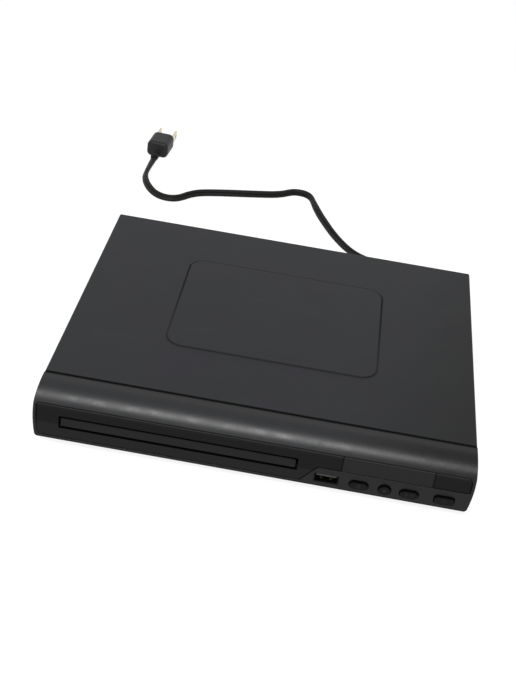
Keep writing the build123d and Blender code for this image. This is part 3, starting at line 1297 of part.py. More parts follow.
def make_jack_barrels():
    """The three plated barrels that a phono plug's collar grips."""
    barrels = []
    for k in range(3):
        x = JACK_X + k * JACK_PITCH
        barrel = rod_y(x, JACK_Z, WALL_Y - SHEET, REAR_Y + JACK_PROUD, JACK_R)
        barrel += rod_y(x, JACK_Z, WALL_Y, WALL_Y + 0.9, JACK_R + 1.2)
        barrels.append(barrel - rod_y(x, JACK_Z, WALL_Y - 2, REAR_Y + JACK_PROUD + 1, JACK_BORE_R))
    return Compound(children=barrels)


def make_jack_inserts():
    """The coloured plastic inside each barrel, with the hole for the plug's pin."""
    inserts = []
    for k in range(3):
        x = JACK_X + k * JACK_PITCH
        insert = rod_y(x, JACK_Z, WALL_Y - SHEET, REAR_Y + JACK_PROUD - 0.6, JACK_BORE_R)
        inserts.append(insert - rod_y(x, JACK_Z, WALL_Y, REAR_Y + JACK_PROUD, 1.6))
    return Compound(children=inserts)


def make_hdmi_port():
    """The digital video socket: shell with bevelled lower corners, and its tongue."""
    z0 = BOARD_TOP
    z1 = BOARD_TOP + HDMI_H
    half = HDMI_W / 2
    bevel = 2.0
    outline = Polyline(
        (HDMI_X - half + bevel, z0),
        (HDMI_X + half - bevel, z0),
        (HDMI_X + half, z0 + bevel),
        (HDMI_X + half, z1),
        (HDMI_X - half, z1),
        (HDMI_X - half, z0 + bevel),
        close=True,
    )
    face = make_face(outline)
    shell = front_prism(face, WALL_Y - 11.0, WALL_Y + 0.6)
    shell -= front_prism(offset(face, amount=-0.6), WALL_Y - 10.0, WALL_Y + 1.6)
    return shell + slab(HDMI_X - 5.6, HDMI_X + 5.6, WALL_Y - 11.0, WALL_Y - 1.0, z0 + 2.6, z0 + 3.8)


def make_strain_relief():
    """The tapered relief of the mains cord, ringed with grooves, snapped into the rear wall."""
    length = RELIEF_L
    start = WALL_Y - SHEET - 2.0
    relief = rod_y(RELIEF_X, RELIEF_Z, start, WALL_Y - SHEET, RELIEF_HOLE_R + 1.2)
    relief += rod_y(RELIEF_X, RELIEF_Z, WALL_Y - SHEET, WALL_Y, RELIEF_HOLE_R - 0.1)
    relief += rod_y(RELIEF_X, RELIEF_Z, WALL_Y, WALL_Y + 2.0, RELIEF_HOLE_R + 1.2)
    taper = Cone(RELIEF_R, CORD_R + 0.6, length - 2.0)
    relief += Pos(RELIEF_X, WALL_Y + 2.0 + (length - 2.0) / 2, RELIEF_Z) * Rot(-90, 0, 0) * taper
    for k in range(4):
        y = WALL_Y + 5.0 + k * 3.4
        ring = rod_y(RELIEF_X, RELIEF_Z, y, y + 1.2, RELIEF_R + 1)
        relief -= ring - rod_y(RELIEF_X, RELIEF_Z, y - 1, y + 3, CORD_R + 0.4)
    return relief


def make_wiring():
    """The flat ribbon from the front board to the main board, and the two mains leads."""
    y0 = FRONT_BOARD_Y + BOARD_T
    end_y = MAIN_Y + RIBBON_SOCKET_IN - 1.0
    high = LIP_Z - 1.5
    line = Polyline(
        (y0 + 0.2, high - 2.0),
        (y0 + 2.0, high),
        (y0 + 18.0, high),
        (end_y, high - 5.0),
        (end_y, BOARD_TOP + RIBBON_SOCKET_H),
    )
    x = MAIN_X + RIBBON_FROM_LEFT
    ribbon = side_prism(Sketch() + trace(line, line_width=0.4), x - RIBBON_W / 2, x + RIBBON_W / 2)
    return Compound(children=[ribbon, *mains_leads()])


def tube(points, radii, diameter):
    """A round tube along straight runs joined by tangent arcs."""
    path = FilletPolyline(*points, radius=radii)
    start = Plane(origin=path @ 0, z_dir=path % 0)
    return sweep(start * Circle(diameter / 2), path=path), path.length


def bend_radii(points):
    """The largest radius at each corner: 0.45 of the shorter run over the tangent of half the turn."""
    places = [Vector(*p) for p in points]
    radii = []
    for before, here, after in zip(places, places[1:], places[2:]):
        turn = math.radians((here - before).get_angle(after - here))
        shorter = min((here - before).length, (after - here).length)
        radii.append(0.45 * shorter / math.tan(turn / 2))
    return radii


def cord_tube(name, points):
    """A stretch of the cord, with its radii, length and volume printed."""
    radii = bend_radii(points)
    solid, length = tube(points, radii, CORD_D)
    expected = math.pi * CORD_R**2 * length
    print(name, "length", round(length, 1), "radii", [round(r, 1) for r in radii])
    print(name, "volume", round(solid.volume, 1), "section times length", round(expected, 1))
    return solid


def mains_leads():
    """The two insulated leads from the strain relief to the power board."""
    leads = []
    for side in (-1, 1):
        x = RELIEF_X + side * LEAD_D
        y = WALL_Y - SHEET - 2.0
        points = [
            (x, y, RELIEF_Z + 1.4),
            (x, y - 2.6, RELIEF_Z + 1.4),
            (x, y - 5.4, RELIEF_Z + 3.8),
            (x - 0.8, LEAD_Y + 3.0, RELIEF_Z + 5.2),
            (x - LEAD_SHIFT, LEAD_Y, RELIEF_Z + 4.0),
            (x - LEAD_SHIFT, LEAD_Y, BOARD_TOP + LEAD_SOCKET_H),
        ]
        leads.append(tube(points, bend_radii(points), LEAD_D)[0])
    return leads


def hank_point(x, y, layer):
    """A point on the hank, x and y from its middle."""
    return Vector(HANK_X + x, HANK_Y + y, CORD_R + layer * HANK_LAYER)


def hank_edges():
    """The hank's centre line: runs drawn in at the waist, joined by half turns, in two layers."""
    step = HANK_PITCH
    lanes = [HANK_OUTER_R - k * step / 2 for k in range(4)]
    order = [0, 1, 2, 3, 2, 1]
    edges = []
    heading = -1
    for k, lane in enumerate(order):
        side = 1 if k % 2 == 0 else -1
        y = side * lanes[lane]
        low = 0 if k <= 3 else 1
        high = 0 if k < 3 else 1
        start = hank_point(-heading * HANK_HALF, y, low)
        end = hank_point(heading * HANK_HALF, y, high)
        waist = hank_point(0, y - side * HANK_WAIST, (low + high) / 2) + Vector(0, 0, WAIST_LIFT)
        if k == 0:
            edges.append(Edge.make_line(start - Vector(heading * CORD_D, 0, 0), start))
        for a, b in ((start, waist), (waist, end)):
            middle = (a + b) / 2
            edges.append(Edge.make_tangent_arc(a, Vector(heading, 0, 0), middle))
            edges.append(Edge.make_tangent_arc(middle, edges[-1] % 1, b))
        if k == len(order) - 1:
            edges.append(Edge.make_line(end, end + Vector(heading * CORD_D, 0, 0)))
        else:
            turned = hank_point(heading * HANK_HALF, -side * lanes[order[k + 1]], high)
            reach = (end - turned).length / 2
            corner = (end + turned) / 2 + Vector(heading * reach, 0, 0)
            edges.append(Edge.make_three_point_arc(end, corner, turned))
        heading = -heading
    return edges


def hank_gap(path):
    """The least distance between stretches of the hank that lie apart along it."""
    steps = 900
    away = int(3 * CORD_D / path.length * steps) + 1
    points = [path @ (k / steps) for k in range(steps + 1)]
    least = path.length
    for i in range(len(points)):
        for j in range(i + away, len(points)):
            least = min(least, (points[i] - points[j]).length)
    return least - CORD_D


def make_hank():
    """The folded length of the cord, one unbroken tube."""
    path = Wire(hank_edges())
    start = Plane(origin=path @ 0, z_dir=path % 0)
    solid = sweep(start * Circle(CORD_R), path=path)
    print("hank length", round(path.length, 1), "least gap", round(hank_gap(path), 2))
    print("hank volume", round(solid.volume, 1), "expected", round(math.pi * CORD_R**2 * path.length, 1))
    return solid


def hank_ends():
    """Where the hank's two ends are: fed by the lead, and leading on to the run."""
    first = hank_point(HANK_HALF + CORD_D, HANK_OUTER_R, 0)
    last = hank_point(HANK_HALF + CORD_D, -(HANK_OUTER_R - HANK_PITCH / 2), 1)
    return tuple(first), tuple(last)


def make_tie():
    """The tie round the hank's waist, rounded at its corners."""
    top = HANK_LAYER + CORD_D + WAIST_LIFT + 0.1
    y0 = HANK_Y - (HANK_OUTER_R - HANK_PITCH / 2 - HANK_WAIST) - CORD_R - TIE_GAP
    y1 = HANK_Y + HANK_OUTER_R - HANK_WAIST + CORD_R + TIE_GAP
    middle = Pos((y0 + y1) / 2, (top + TIE_T) / 2 + 0.05)
    width, height = y1 - y0, top - TIE_T - 0.1
    ring = RectangleRounded(width + 2 * TIE_T, height + 2 * TIE_T, CORD_R + TIE_T)
    ring = middle * (ring - RectangleRounded(width, height, CORD_R))
    return side_prism(ring, HANK_X - TIE_W / 2, HANK_X + TIE_W / 2)


def lead_points():
    """The cord from the strain relief down to the hank."""
    end = hank_ends()[0]
    return [
        (RELIEF_X, WALL_Y + RELIEF_L, RELIEF_Z),
        (RELIEF_X, WALL_Y + RELIEF_L + 8.0, RELIEF_Z),
        (65.0, 135.0, 14.0),
        (57.5, 140.5, 5.5),
        (44.0, end[1], end[2]),
        end,
    ]


def run_points():
    """The cord from the hank, behind the player and along the floor to the plug."""
    z = CORD_R
    return [
        hank_ends()[1],
        (44.0, *hank_ends()[1][1:]),
        (58.0, 104.5, 3.8),
        (70.0, 112.0, z),
        (77.0, 125.5, z),
        (76.0, 141.0, z),
        (67.0, 153.0, z),
        (53.5, 160.5, z),
        (39.5, 168.0, z),
        (27.5, 184.5, z),
        (15.6, 209.5, z),
        (7.4, 230.0, z),
        (2.5, 245.5, z),
        (-8.5, 251.0, z),
        (-20.5, 239.5, z),
        (-40.0, 229.5, z),
        (-68.0, 224.0, z),
        (-82.5, 217.5, z),
        (-90.5, 203.0, z),
        (-104.0, 198.5, z),
        (-117.5, 211.0, z),
        (-124.5, 227.0, z),
        (-125.0, 245.0, z),
        (-123.6, 262.2, z),
    ]


def plug_place():
    """The plug's place: in line with the cord's last run."""
    before, end = run_points()[-2:]
    heading = math.atan2(end[1] - before[1], end[0] - before[0])
    return Pos(*end[:2], 0) * Rot(0, 0, math.degrees(heading))


def make_plug():
    """The moulded plug body: a tapered grip with a collar for the cord."""
    width, length, height = PLUG_BODY
    middle = height / 2
    collar = 7.0
    grip = Pos(collar + (length - collar) / 2, 0, middle) * Box(length - collar, width, height)
    grip = fillet(grip.edges().filter_by(Axis.X), 4.0)
    grip = fillet(grip.faces().sort_by(Axis.X)[0].edges(), 2.4)
    neck = Pos(collar / 2 + 0.6, 0, CORD_R + 0.8) * Rot(0, 90, 0) * Cylinder(CORD_R + 0.8, collar + 1.2)
    return plug_place() * (grip + neck)


def make_plug_blades():
    """The plug's two flat blades, each with its hole."""
    length = PLUG_BODY[1]
    middle = PLUG_BODY[2] / 2
    blades = []
    for side in (-1, 1):
        blade = Pos(length + 8.0, side * 6.35, middle) * Box(16.0, 1.5, 6.3)
        blade -= Pos(length + 12.5, side * 6.35, middle) * Rot(90, 0, 0) * Cylinder(1.6, 4.0)
        blades.append(plug_place() * blade)
    return Compound(children=blades)


def main():
    """Build every piece and write it to its own file."""
    os.makedirs("parts", exist_ok=True)
    first, last = lead_points(), run_points()
    pieces = {
        "base_chassis": make_chassis,
        "feet": make_feet,
        "top_cover": make_cover,
        "cover_screws": make_cover_screws,
        "front_bezel": make_bezel,
        "front_trim": make_trim,
        "display_window": make_lens,
        "tray_door": make_door,
        "disc_tray": make_tray,
        "tray_gear": make_tray_gear,
        "belt_pulley": make_belt_pulley,
        "drive_belt": make_belt,
        "motor_pulley": make_motor_pulley,
        "tray_motor": make_tray_motor,
        "loader_frame": make_frame,
        "clamp_bridge": make_clamp_bridge,
        "clamp_disc": make_clamp_disc,
        "clamp_cap": make_clamp_cap,
        "cam_slider": make_cam_slider,
        "deck_frame": make_deck_frame,
        "deck_dampers": make_dampers,
        "deck_plate": make_deck_plate,
        "spindle_motor": make_spindle_motor,
        "turntable": make_turntable,
        "turntable_pad": make_turntable_pad,
        "guide_rods": make_guide_rods,
        "rod_clips": make_rod_clips,
        "optical_pickup": make_pickup,
        "objective_lens": make_objective_lens,
        "sled_motor": make_sled_motor,
        "sled_screw": make_sled_screw,
        "front_board": make_front_board,
        "key_switches": make_key_switches,
        "display_module": make_display_module,
        "usb_port": make_usb_port,
        "circuit_boards": make_boards,
        "chips": make_chips,
        "capacitors": make_capacitors,
        "connectors": make_connectors,
        "coils": make_coils,
        "mains_fuse": make_fuse,
        "heat_sink": make_heat_sink,
        "inner_wiring": make_wiring,
        "inner_screws": make_inner_screws,
        "av_jack_block": make_av_jacks,
        "jack_barrels": make_jack_barrels,
        "jack_inserts": make_jack_inserts,
        "hdmi_port": make_hdmi_port,
        "strain_relief": make_strain_relief,
        "cord_hank": make_hank,
        "cord_tie": make_tie,
        "plug_body": make_plug,
        "plug_blades": make_plug_blades,
    }
    for name, make in pieces.items():
        save(name, make())
    keys = {
        "key_eject": KEY_EJECT_X,
        "key_stop": KEY_STOP_X,
        "key_play": KEY_PLAY_X,
        "key_power": KEY_POWER_X,
    }
    for name, x in keys.items():
        save(name, make_key(x))
    save("cord_lead", cord_tube("cord_lead", first))
    save("cord_run", cord_tube("cord_run", last))


main()
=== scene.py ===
"""Looks of a slim disc player: its finishes, its flat mains cord, the light and the camera."""

from __future__ import annotations

import logging
import math
from dataclasses import dataclass, field
from enum import Enum

import bpy
from mathutils import Matrix, Vector

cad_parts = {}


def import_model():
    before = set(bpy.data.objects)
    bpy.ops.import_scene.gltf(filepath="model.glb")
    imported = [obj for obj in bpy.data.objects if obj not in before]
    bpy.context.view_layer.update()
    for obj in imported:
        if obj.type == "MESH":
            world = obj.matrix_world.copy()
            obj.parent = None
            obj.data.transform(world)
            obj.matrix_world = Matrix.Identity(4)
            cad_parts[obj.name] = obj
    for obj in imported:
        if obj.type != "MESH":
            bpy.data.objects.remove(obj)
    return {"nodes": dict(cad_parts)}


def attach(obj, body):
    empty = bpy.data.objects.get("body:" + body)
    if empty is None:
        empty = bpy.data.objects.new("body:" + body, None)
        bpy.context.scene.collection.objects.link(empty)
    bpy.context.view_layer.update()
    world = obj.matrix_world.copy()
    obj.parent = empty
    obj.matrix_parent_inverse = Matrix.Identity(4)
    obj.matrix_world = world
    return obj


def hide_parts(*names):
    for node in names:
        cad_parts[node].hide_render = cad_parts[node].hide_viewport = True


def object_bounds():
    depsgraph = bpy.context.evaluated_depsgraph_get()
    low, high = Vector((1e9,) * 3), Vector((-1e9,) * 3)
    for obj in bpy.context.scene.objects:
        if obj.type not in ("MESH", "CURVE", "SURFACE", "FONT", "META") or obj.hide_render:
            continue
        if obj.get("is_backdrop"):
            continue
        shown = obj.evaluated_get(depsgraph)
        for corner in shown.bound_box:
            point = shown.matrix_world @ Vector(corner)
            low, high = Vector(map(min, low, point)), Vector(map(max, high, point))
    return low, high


log = logging.getLogger("disc_player")

Colour = tuple[float, float, float]
Point = tuple[float, float, float]
Pair = tuple[float, float]

MM = 0.001


def grey(level: float) -> Colour:
    """A colour without a hue."""
    return (level, level, level)


# Near-black painted shade for the sides of gaps and the shaded sides of keys.
GAP_SHADE = grey(0.0008)


class Value:
    """A number, colour or vector in a shader graph, whose arithmetic adds Math nodes."""

    def __init__(self, graph: Graph, socket: bpy.types.NodeSocket) -> None:
        """Wraps an output socket of the graph."""
        self.graph = graph
        self.socket = socket

    def math(self, operation: str, *others: Value | float) -> Value:
        """Adds one Math node.

        Args:
            operation: The Math node's operation.
            others: What follows this value in the node's inputs.

        Returns:
            The node's result.
        """
        return self.graph.math(operation, self, *others)

    def __add__(self, other: Value | float) -> Value:
        """The sum."""
        return self.math("ADD", other)

    __radd__ = __add__

    def __sub__(self, other: Value | float) -> Value:
        """The difference."""
        return self.math("SUBTRACT", other)

    def __rsub__(self, other: float) -> Value:
        """A number less this value."""
        return self.graph.math("SUBTRACT", other, self)

    def __mul__(self, other: Value | float) -> Value:
        """The product."""
        return self.math("MULTIPLY", other)

    __rmul__ = __mul__

    def __lt__(self, other: Value | float) -> Value:
        """1 where this value is the smaller, otherwise 0."""
        return self.math("LESS_THAN", other)

    def __gt__(self, other: Value | float) -> Value:
        """1 where this value is the larger, otherwise 0."""
        return self.math("GREATER_THAN", other)

    def __abs__(self) -> Value:
        """The value without its sign."""
        return self.math("ABSOLUTE")

    def __mod__(self, other: float) -> Value:
        """The value wrapped into 0 to the given number."""
        return self.math("FLOORED_MODULO", other)

    def within(self, low: float, high: float) -> Value:
        """1 between the two, otherwise 0."""
        return (self > low) * (self < high)

    def least(self, other: Value | float) -> Value:
        """The smaller of the two."""
        return self.math("MINIMUM", other)

    def most(self, other: Value | float) -> Value:
        """The larger of the two."""
        return self.math("MAXIMUM", other)

    def ramp(self, low: float, high: float) -> Value:
        """Rises smoothly from 0 to 1.

        Args:
            low: Where it starts to rise.
            high: Where it reaches 1; below low, it falls instead.

        Returns:
            A value from 0 to 1.
        """
        if high < low:
            return 1 - self.ramp(high, low)
        inputs = {"Value": self, "From Min": low, "From Max": high}
        return self.graph.node("ShaderNodeMapRange", {"interpolation_type": "SMOOTHSTEP"}, inputs)


class Graph:
    """The shader graph of one material, or of the world."""

    def __init__(self, owner: bpy.types.Material | bpy.types.World) -> None:
        """Starts an empty graph in a material or world."""
        owner.use_nodes = True
        self.tree = owner.node_tree
        self.tree.nodes.clear()
        self.shared: dict[str, Value] = {}

    def node(
        self,
        kind: str,
        settings: dict[str, object] | None = None,
        inputs: dict[str | int, object] | None = None,
        output: str | int = 0,
    ) -> Value:
        """Adds a node.

        Args:
            kind: The node's type.
            settings: The node's own properties, set before its sockets.
            inputs: Values or links for its input sockets, by name or number.
            output: Which output is wanted.

        Returns:
            The wanted output.
        """
        made = self.tree.nodes.new(kind)
        for key, value in (settings or {}).items():
            setattr(made, key, value)
        for key, value in (inputs or {}).items():
            self.feed(made.inputs[key], value)
        return Value(self, made.outputs[output] if made.outputs else None)

    def feed(self, socket: bpy.types.NodeSocket, value: object) -> None:
        """Links a value to an input socket, or sets the socket to a plain one."""
        if isinstance(value, Value):
            self.tree.links.new(value.socket, socket)
        elif isinstance(value, tuple) and len(value) == 3 and socket.type == "RGBA":
            socket.default_value = (*value, 1.0)
        else:
            socket.default_value = value

    def math(self, operation: str, *values: Value | float) -> Value:
        """One Math node on the given values."""
        return self.node("ShaderNodeMath", {"operation": operation}, dict(enumerate(values)))

    def once(self, key: str, kind: str, output: str) -> Value:
        """An input node that the whole graph shares."""
        if key not in self.shared:
            self.shared[key] = self.node(kind, output=output)
        return self.shared[key]

    def place(self) -> Value:
        """The surface point in the player's frame, in metres."""
        return self.once("place", "ShaderNodeTexCoord", "Object")

    def facing(self) -> Value:
        """The surface's own normal."""
        return self.once("facing", "ShaderNodeNewGeometry", "Normal")

    def axes(self, vector: Value | None = None) -> tuple[Value, Value, Value]:
        """The three parts of a vector, of the surface point unless another is given."""
        split = self.node("ShaderNodeSeparateXYZ", inputs={0: vector or self.place()})
        outputs = split.socket.node.outputs
        return tuple(Value(self, outputs[k]) for k in range(3))

    def stretched(self, stretch: Point) -> Value:
        """The surface point with each axis scaled."""
        settings = {"operation": "MULTIPLY"}
        return self.node("ShaderNodeVectorMath", settings, {0: self.place(), 1: stretch})

    def noise(self, size: float, detail: float = 2.0, stretch: Point = (1.0, 1.0, 1.0)) -> Value:
        """Soft noise.

        Args:
            size: How far apart its blobs are, in metres.
            detail: How many finer layers it has.
            stretch: Scale of each axis before the noise.

        Returns:
            A value about 0.5, from 0 to 1.
        """
        place = self.place() if stretch == (1.0, 1.0, 1.0) else self.stretched(stretch)
        inputs = {"Vector": place, "Scale": 1.0 / size, "Detail": detail}
        return self.node("ShaderNodeTexNoise", inputs=inputs)

    def cells(self, size: float) -> Value:
        """Distance to the nearest of points strewn about `size` metres apart, as a share of it."""
        inputs = {"Vector": self.place(), "Scale": 1.0 / size}
        return self.node("ShaderNodeTexVoronoi", inputs=inputs)

    def blend(self, mask: Value | float, under: object, over: object) -> Value:
        """Mixes two colours.

        Args:
            mask: 0 for the first, 1 for the second.
            under: The first colour.
            over: The second colour.

        Returns:
            The mixed colour.
        """
        inputs = {0: mask, 6: under, 7: over}
        return self.node("ShaderNodeMix", {"data_type": "RGBA"}, inputs, 2)

    def rounded(self, radius: float) -> Value:
        """The normal, as if each edge were rounded to that radius."""
        return self.node("ShaderNodeBevel", {"samples": 4}, {"Radius": radius})

    def shade(self, sockets: dict[str, object]) -> None:
        """Ends the graph in one Principled shader with those inputs."""
        surface = self.node("ShaderNodeBsdfPrincipled", inputs=sockets)
        self.node("ShaderNodeOutputMaterial", inputs={"Surface": surface})


def in_scene(name: str, data: bpy.types.ID) -> bpy.types.Object:
    """A new object in the scene with that data."""
    made = bpy.data.objects.new(name, data)
    bpy.context.scene.collection.objects.link(made)
    return made


def duller(gloss: Value, part: Value) -> Value:
    """The roughness raised by 0.5 where the part is 1, but not past 1."""
    return (gloss + part * 0.5).least(1.0)


@dataclass(frozen=True)
class Finish:
    """A surface whose colour and gloss drift a little, with a fine grain and rubbed edges."""

    name: str
    colour: Colour
    drift: Colour
    roughness: float = 0.45
    spread: float = 0.08
    drift_size: float = 0.02
    grain: float = 0.0006
    depth: float = 0.000004
    edge: float = 0.0
    rubbed: Colour = (0.05, 0.05, 0.052)
    wear: float = 0.35
    metallic: float = 0.0
    specular: float = 0.18
    coat: float = 0.0

    def hue(self, g: Graph) -> Value:
        """The surface's colour."""
        tone = g.blend(g.noise(self.drift_size, 3.0), self.colour, self.drift)
        if not self.edge:
            return tone
        settings = {"operation": "DOT_PRODUCT"}
        inputs = {0: g.rounded(self.edge), 1: g.facing()}
        agree = g.node("ShaderNodeVectorMath", settings, inputs, "Value")
        worn = agree.ramp(0.995, 0.8) * g.noise(0.006, 3.0).ramp(0.3, 0.7)
        return g.blend(worn * self.wear, tone, self.rubbed)

    def cloud(self, g: Graph) -> Value:
        """What the roughness drifts with, about 0.5."""
        return g.noise(self.drift_size * 0.6, 4.0)

    def gloss(self, g: Graph) -> Value:
        """The surface's roughness."""
        return self.cloud(g) * self.spread + (self.roughness - self.spread / 2)

    def relief(self, g: Graph) -> Value:
        """How far the surface stands proud, in metres."""
        return g.noise(self.grain, 3.0) * self.depth

    def metal(self, g: Graph) -> Value | float:
        """How metallic the surface is."""
        return self.metallic

    def sockets(self, g: Graph) -> dict[str, object]:
        """The shader's inputs."""
        bump = {"Strength": 1.0, "Distance": 1.0, "Height": self.relief(g)}
        if self.edge:
            bump["Normal"] = g.rounded(self.edge)
        return {
            "Base Color": self.hue(g),
            "Roughness": self.gloss(g),
            "Metallic": self.metal(g),
            "Specular IOR Level": self.specular,
            "Coat Weight": self.coat,
            "Normal": g.node("ShaderNodeBump", inputs=bump),
        }

    def material(self) -> bpy.types.Material:
        """The finish as a material, made once."""
        name = self.name + "_finish"
        known = bpy.data.materials.get(name)
        if known:
            return known
        made = bpy.data.materials.new(name)
        g = Graph(made)
        g.shade(self.sockets(g))
        return made


@dataclass(frozen=True)
class BakedPaint(Finish):
    """Black baked paint with faint smears; painted shade at the raised panel's edge, seam and
    right.
    """

    panel: Pair = (0.1216, 0.0984)
    panel_y: float = 0.0066
    corner: float = 0.010
    line: float = 0.0009
    front_edge: float = -0.0869
    shade: Colour = (0.0008, 0.0008, 0.0009)
    smear: Colour = (0.019, 0.019, 0.020)
    smeared: float = 0.35
    violet: Colour = (0.0134, 0.0122, 0.0168)
    tinted: float = 0.75
    far: Colour = (0.0035, 0.0035, 0.0037)
    painted_dimming: float = 0.9

    def from_edge(self, g: Graph) -> Value:
        """Distance from the panel's outline, which is below 0 inside it."""
        x, y, _ = g.axes()
        across = abs(x) - (self.panel[0] / 2 - self.corner)
        along = abs(y - self.panel_y) - (self.panel[1] / 2 - self.corner)
        inside = across.most(along).least(0.0)
        wide, deep = across.most(0.0), along.most(0.0)
        return (wide * wide + deep * deep).math("SQRT") + inside - self.corner

    def hue(self, g: Graph) -> Value:
        """The paint's colour: smears, violet blotches; painted shade far right, in step and seam.
        """
        tone = super().hue(g)
        x, y, _ = g.axes()
        smears = g.noise(0.03, 6.0, (1.0, 2.4, 1.0)).ramp(0.56, 0.74)
        tone = g.blend(smears * self.smeared, tone, self.smear)
        blotches = g.noise(0.035, 3.0).ramp(0.42, 0.66)
        tone = g.blend(blotches * self.tinted, tone, self.violet)
        # Painted shade: the paint dims towards the far right.
        away = (x - y * 0.2).ramp(0.05, 0.14)
        tone = g.blend(away * self.painted_dimming, tone, self.far)
        # Painted shade in the panel's step and on the cover's front edge in the seam.
        return g.blend(self.step(g).most(y < self.front_edge), tone, self.shade)

    def step(self, g: Graph) -> Value:
        """How deep in the step's shade a point lies, more so towards the rear."""
        _, y, z = g.axes()
        drawn = abs(self.from_edge(g)).ramp(self.line, self.line * 0.3)
        return drawn * z.ramp(0.0368, 0.0373) * (y.ramp(-0.04, 0.05) * 0.55 + 0.4)

    def gloss(self, g: Graph) -> Value:
        """The paint's roughness, dull in the step and in the seam."""
        return duller(super().gloss(g), self.step(g).most(g.axes()[1] < self.front_edge))


@dataclass(frozen=True)
class Brushed(Finish):
    """Rolled or brushed metal, with fine streaks along one axis."""

    streak: Point = (0.05, 1.0, 1.0)
    metallic: float = 1.0

    def hue(self, g: Graph) -> Value:
        """The metal's colour, streaked."""
        return g.blend(g.noise(0.0008, 4.0, self.streak), self.colour, self.drift)

    def cloud(self, g: Graph) -> Value:
        """Streaks in the roughness."""
        return g.noise(0.0006, 4.0, self.streak)


class Mark(Enum):
    """What a key is marked with."""

    EJECT = "eject"
    STOP = "stop"
    PLAY = "play"
    POWER = "power"


@dataclass(frozen=True)
class KeyFace(Finish):
    """Satin plastic key with a small pale mark and painted shade on its sides."""

    mark: Mark = Mark.STOP
    centre: Pair = (0.0, 0.0)
    ink: Colour = (0.020, 0.020, 0.021)
    soft: float = 0.00012
    rim: float = -0.10625
    dark: Colour = GAP_SHADE
    printed: float = 0.8
    lower_shade: float = 0.3
    shade_rise: Pair = (-0.0018, -0.0006)

    def box(self, u: Value, v: Value, middle: Pair, half: Pair) -> Value:
        """Distance from a box.

        Args:
            u: Across the key.
            v: Up the key.
            middle: The box's middle, in millimetres.
            half: Half its sides, in millimetres.

        Returns:
            A value below 0 inside it.
        """
        across = abs(u - middle[0] * MM) - half[0] * MM
        return across.most(abs(v - middle[1] * MM) - half[1] * MM)

    def triangle(self, side: Value, forward: Value, base: float, tip: float) -> Value:
        """Distance from a triangle that points along `forward`, from its base to its tip in mm."""
        slope = 0.85
        return (abs(side) + forward * slope - tip * slope * MM).most(base * MM - forward)

    def outline(self, g: Graph) -> Value:
        """Distance from the mark, below 0 inside it."""
        x, _, z = g.axes()
        u, v = x - self.centre[0] * MM, z - self.centre[1] * MM
        if self.mark is Mark.EJECT:
            return self.triangle(u, v, -0.25, 1.35).least(self.box(u, v, (0, -1.0), (1.35, 0.27)))
        if self.mark is Mark.STOP:
            return self.box(u, v, (0, 0), (0.85, 0.85))
        if self.mark is Mark.PLAY:
            bars = self.box(abs(u - 1.55 * MM), v, (0.42, 0), (0.2, 1.1))
            return self.triangle(v, u, -1.9, -0.4).least(bars)
        ring = abs((u * u + v * v).math("SQRT") - 1.15 * MM) - 0.17 * MM
        ring = ring.most(-1 * self.box(u, v, (0, 1.2), (0.5, 0.8)))
        return ring.least(self.box(u, v, (0, 0.95), (0.17, 0.7)))

    def hue(self, g: Graph) -> Value:
        """The key's colour with its mark, and painted shade on its sides."""
        mark = self.outline(g).ramp(self.soft, -self.soft)
        face = g.blend(mark * self.printed, super().hue(g), self.ink)
        return g.blend(self.side(g), face, self.dark)

    def side(self, g: Graph) -> Value:
        """Painted shade: 1 on the sides and the upward-facing edge, less on the key's lower side.
        """
        up = g.axes(g.facing())[2].ramp(0.25, 0.45)
        _, y, z = g.axes()
        upper = (z - self.centre[1] * MM).ramp(*self.shade_rise)
        upper = upper * (1 - self.lower_shade) + self.lower_shade
        return ((y > self.rim) * upper).most(up)

    def gloss(self, g: Graph) -> Value:
        """The key's roughness, dull on its sides."""
        return duller(super().gloss(g), self.side(g))


@dataclass(frozen=True)
class Recessed(Finish):
    """Front moulding, dark with painted shade and dull on each side lying in a gap behind its face.
    """

    face: float = -0.1054
    behind: float = 0.0002
    # Painted shade on the sides of gaps.
    dark: Colour = GAP_SHADE

    def in_gap(self, g: Graph) -> Value:
        """1 on the sides of a gap, where shade is painted."""
        return g.axes()[1] > self.face + self.behind

    def hue(self, g: Graph) -> Value:
        """The moulding's colour, with painted shade in the gaps."""
        return g.blend(self.in_gap(g), super().hue(g), self.dark)

    def gloss(self, g: Graph) -> Value:
        """The moulding's roughness, dull in the gaps."""
        return duller(super().gloss(g), self.in_gap(g))


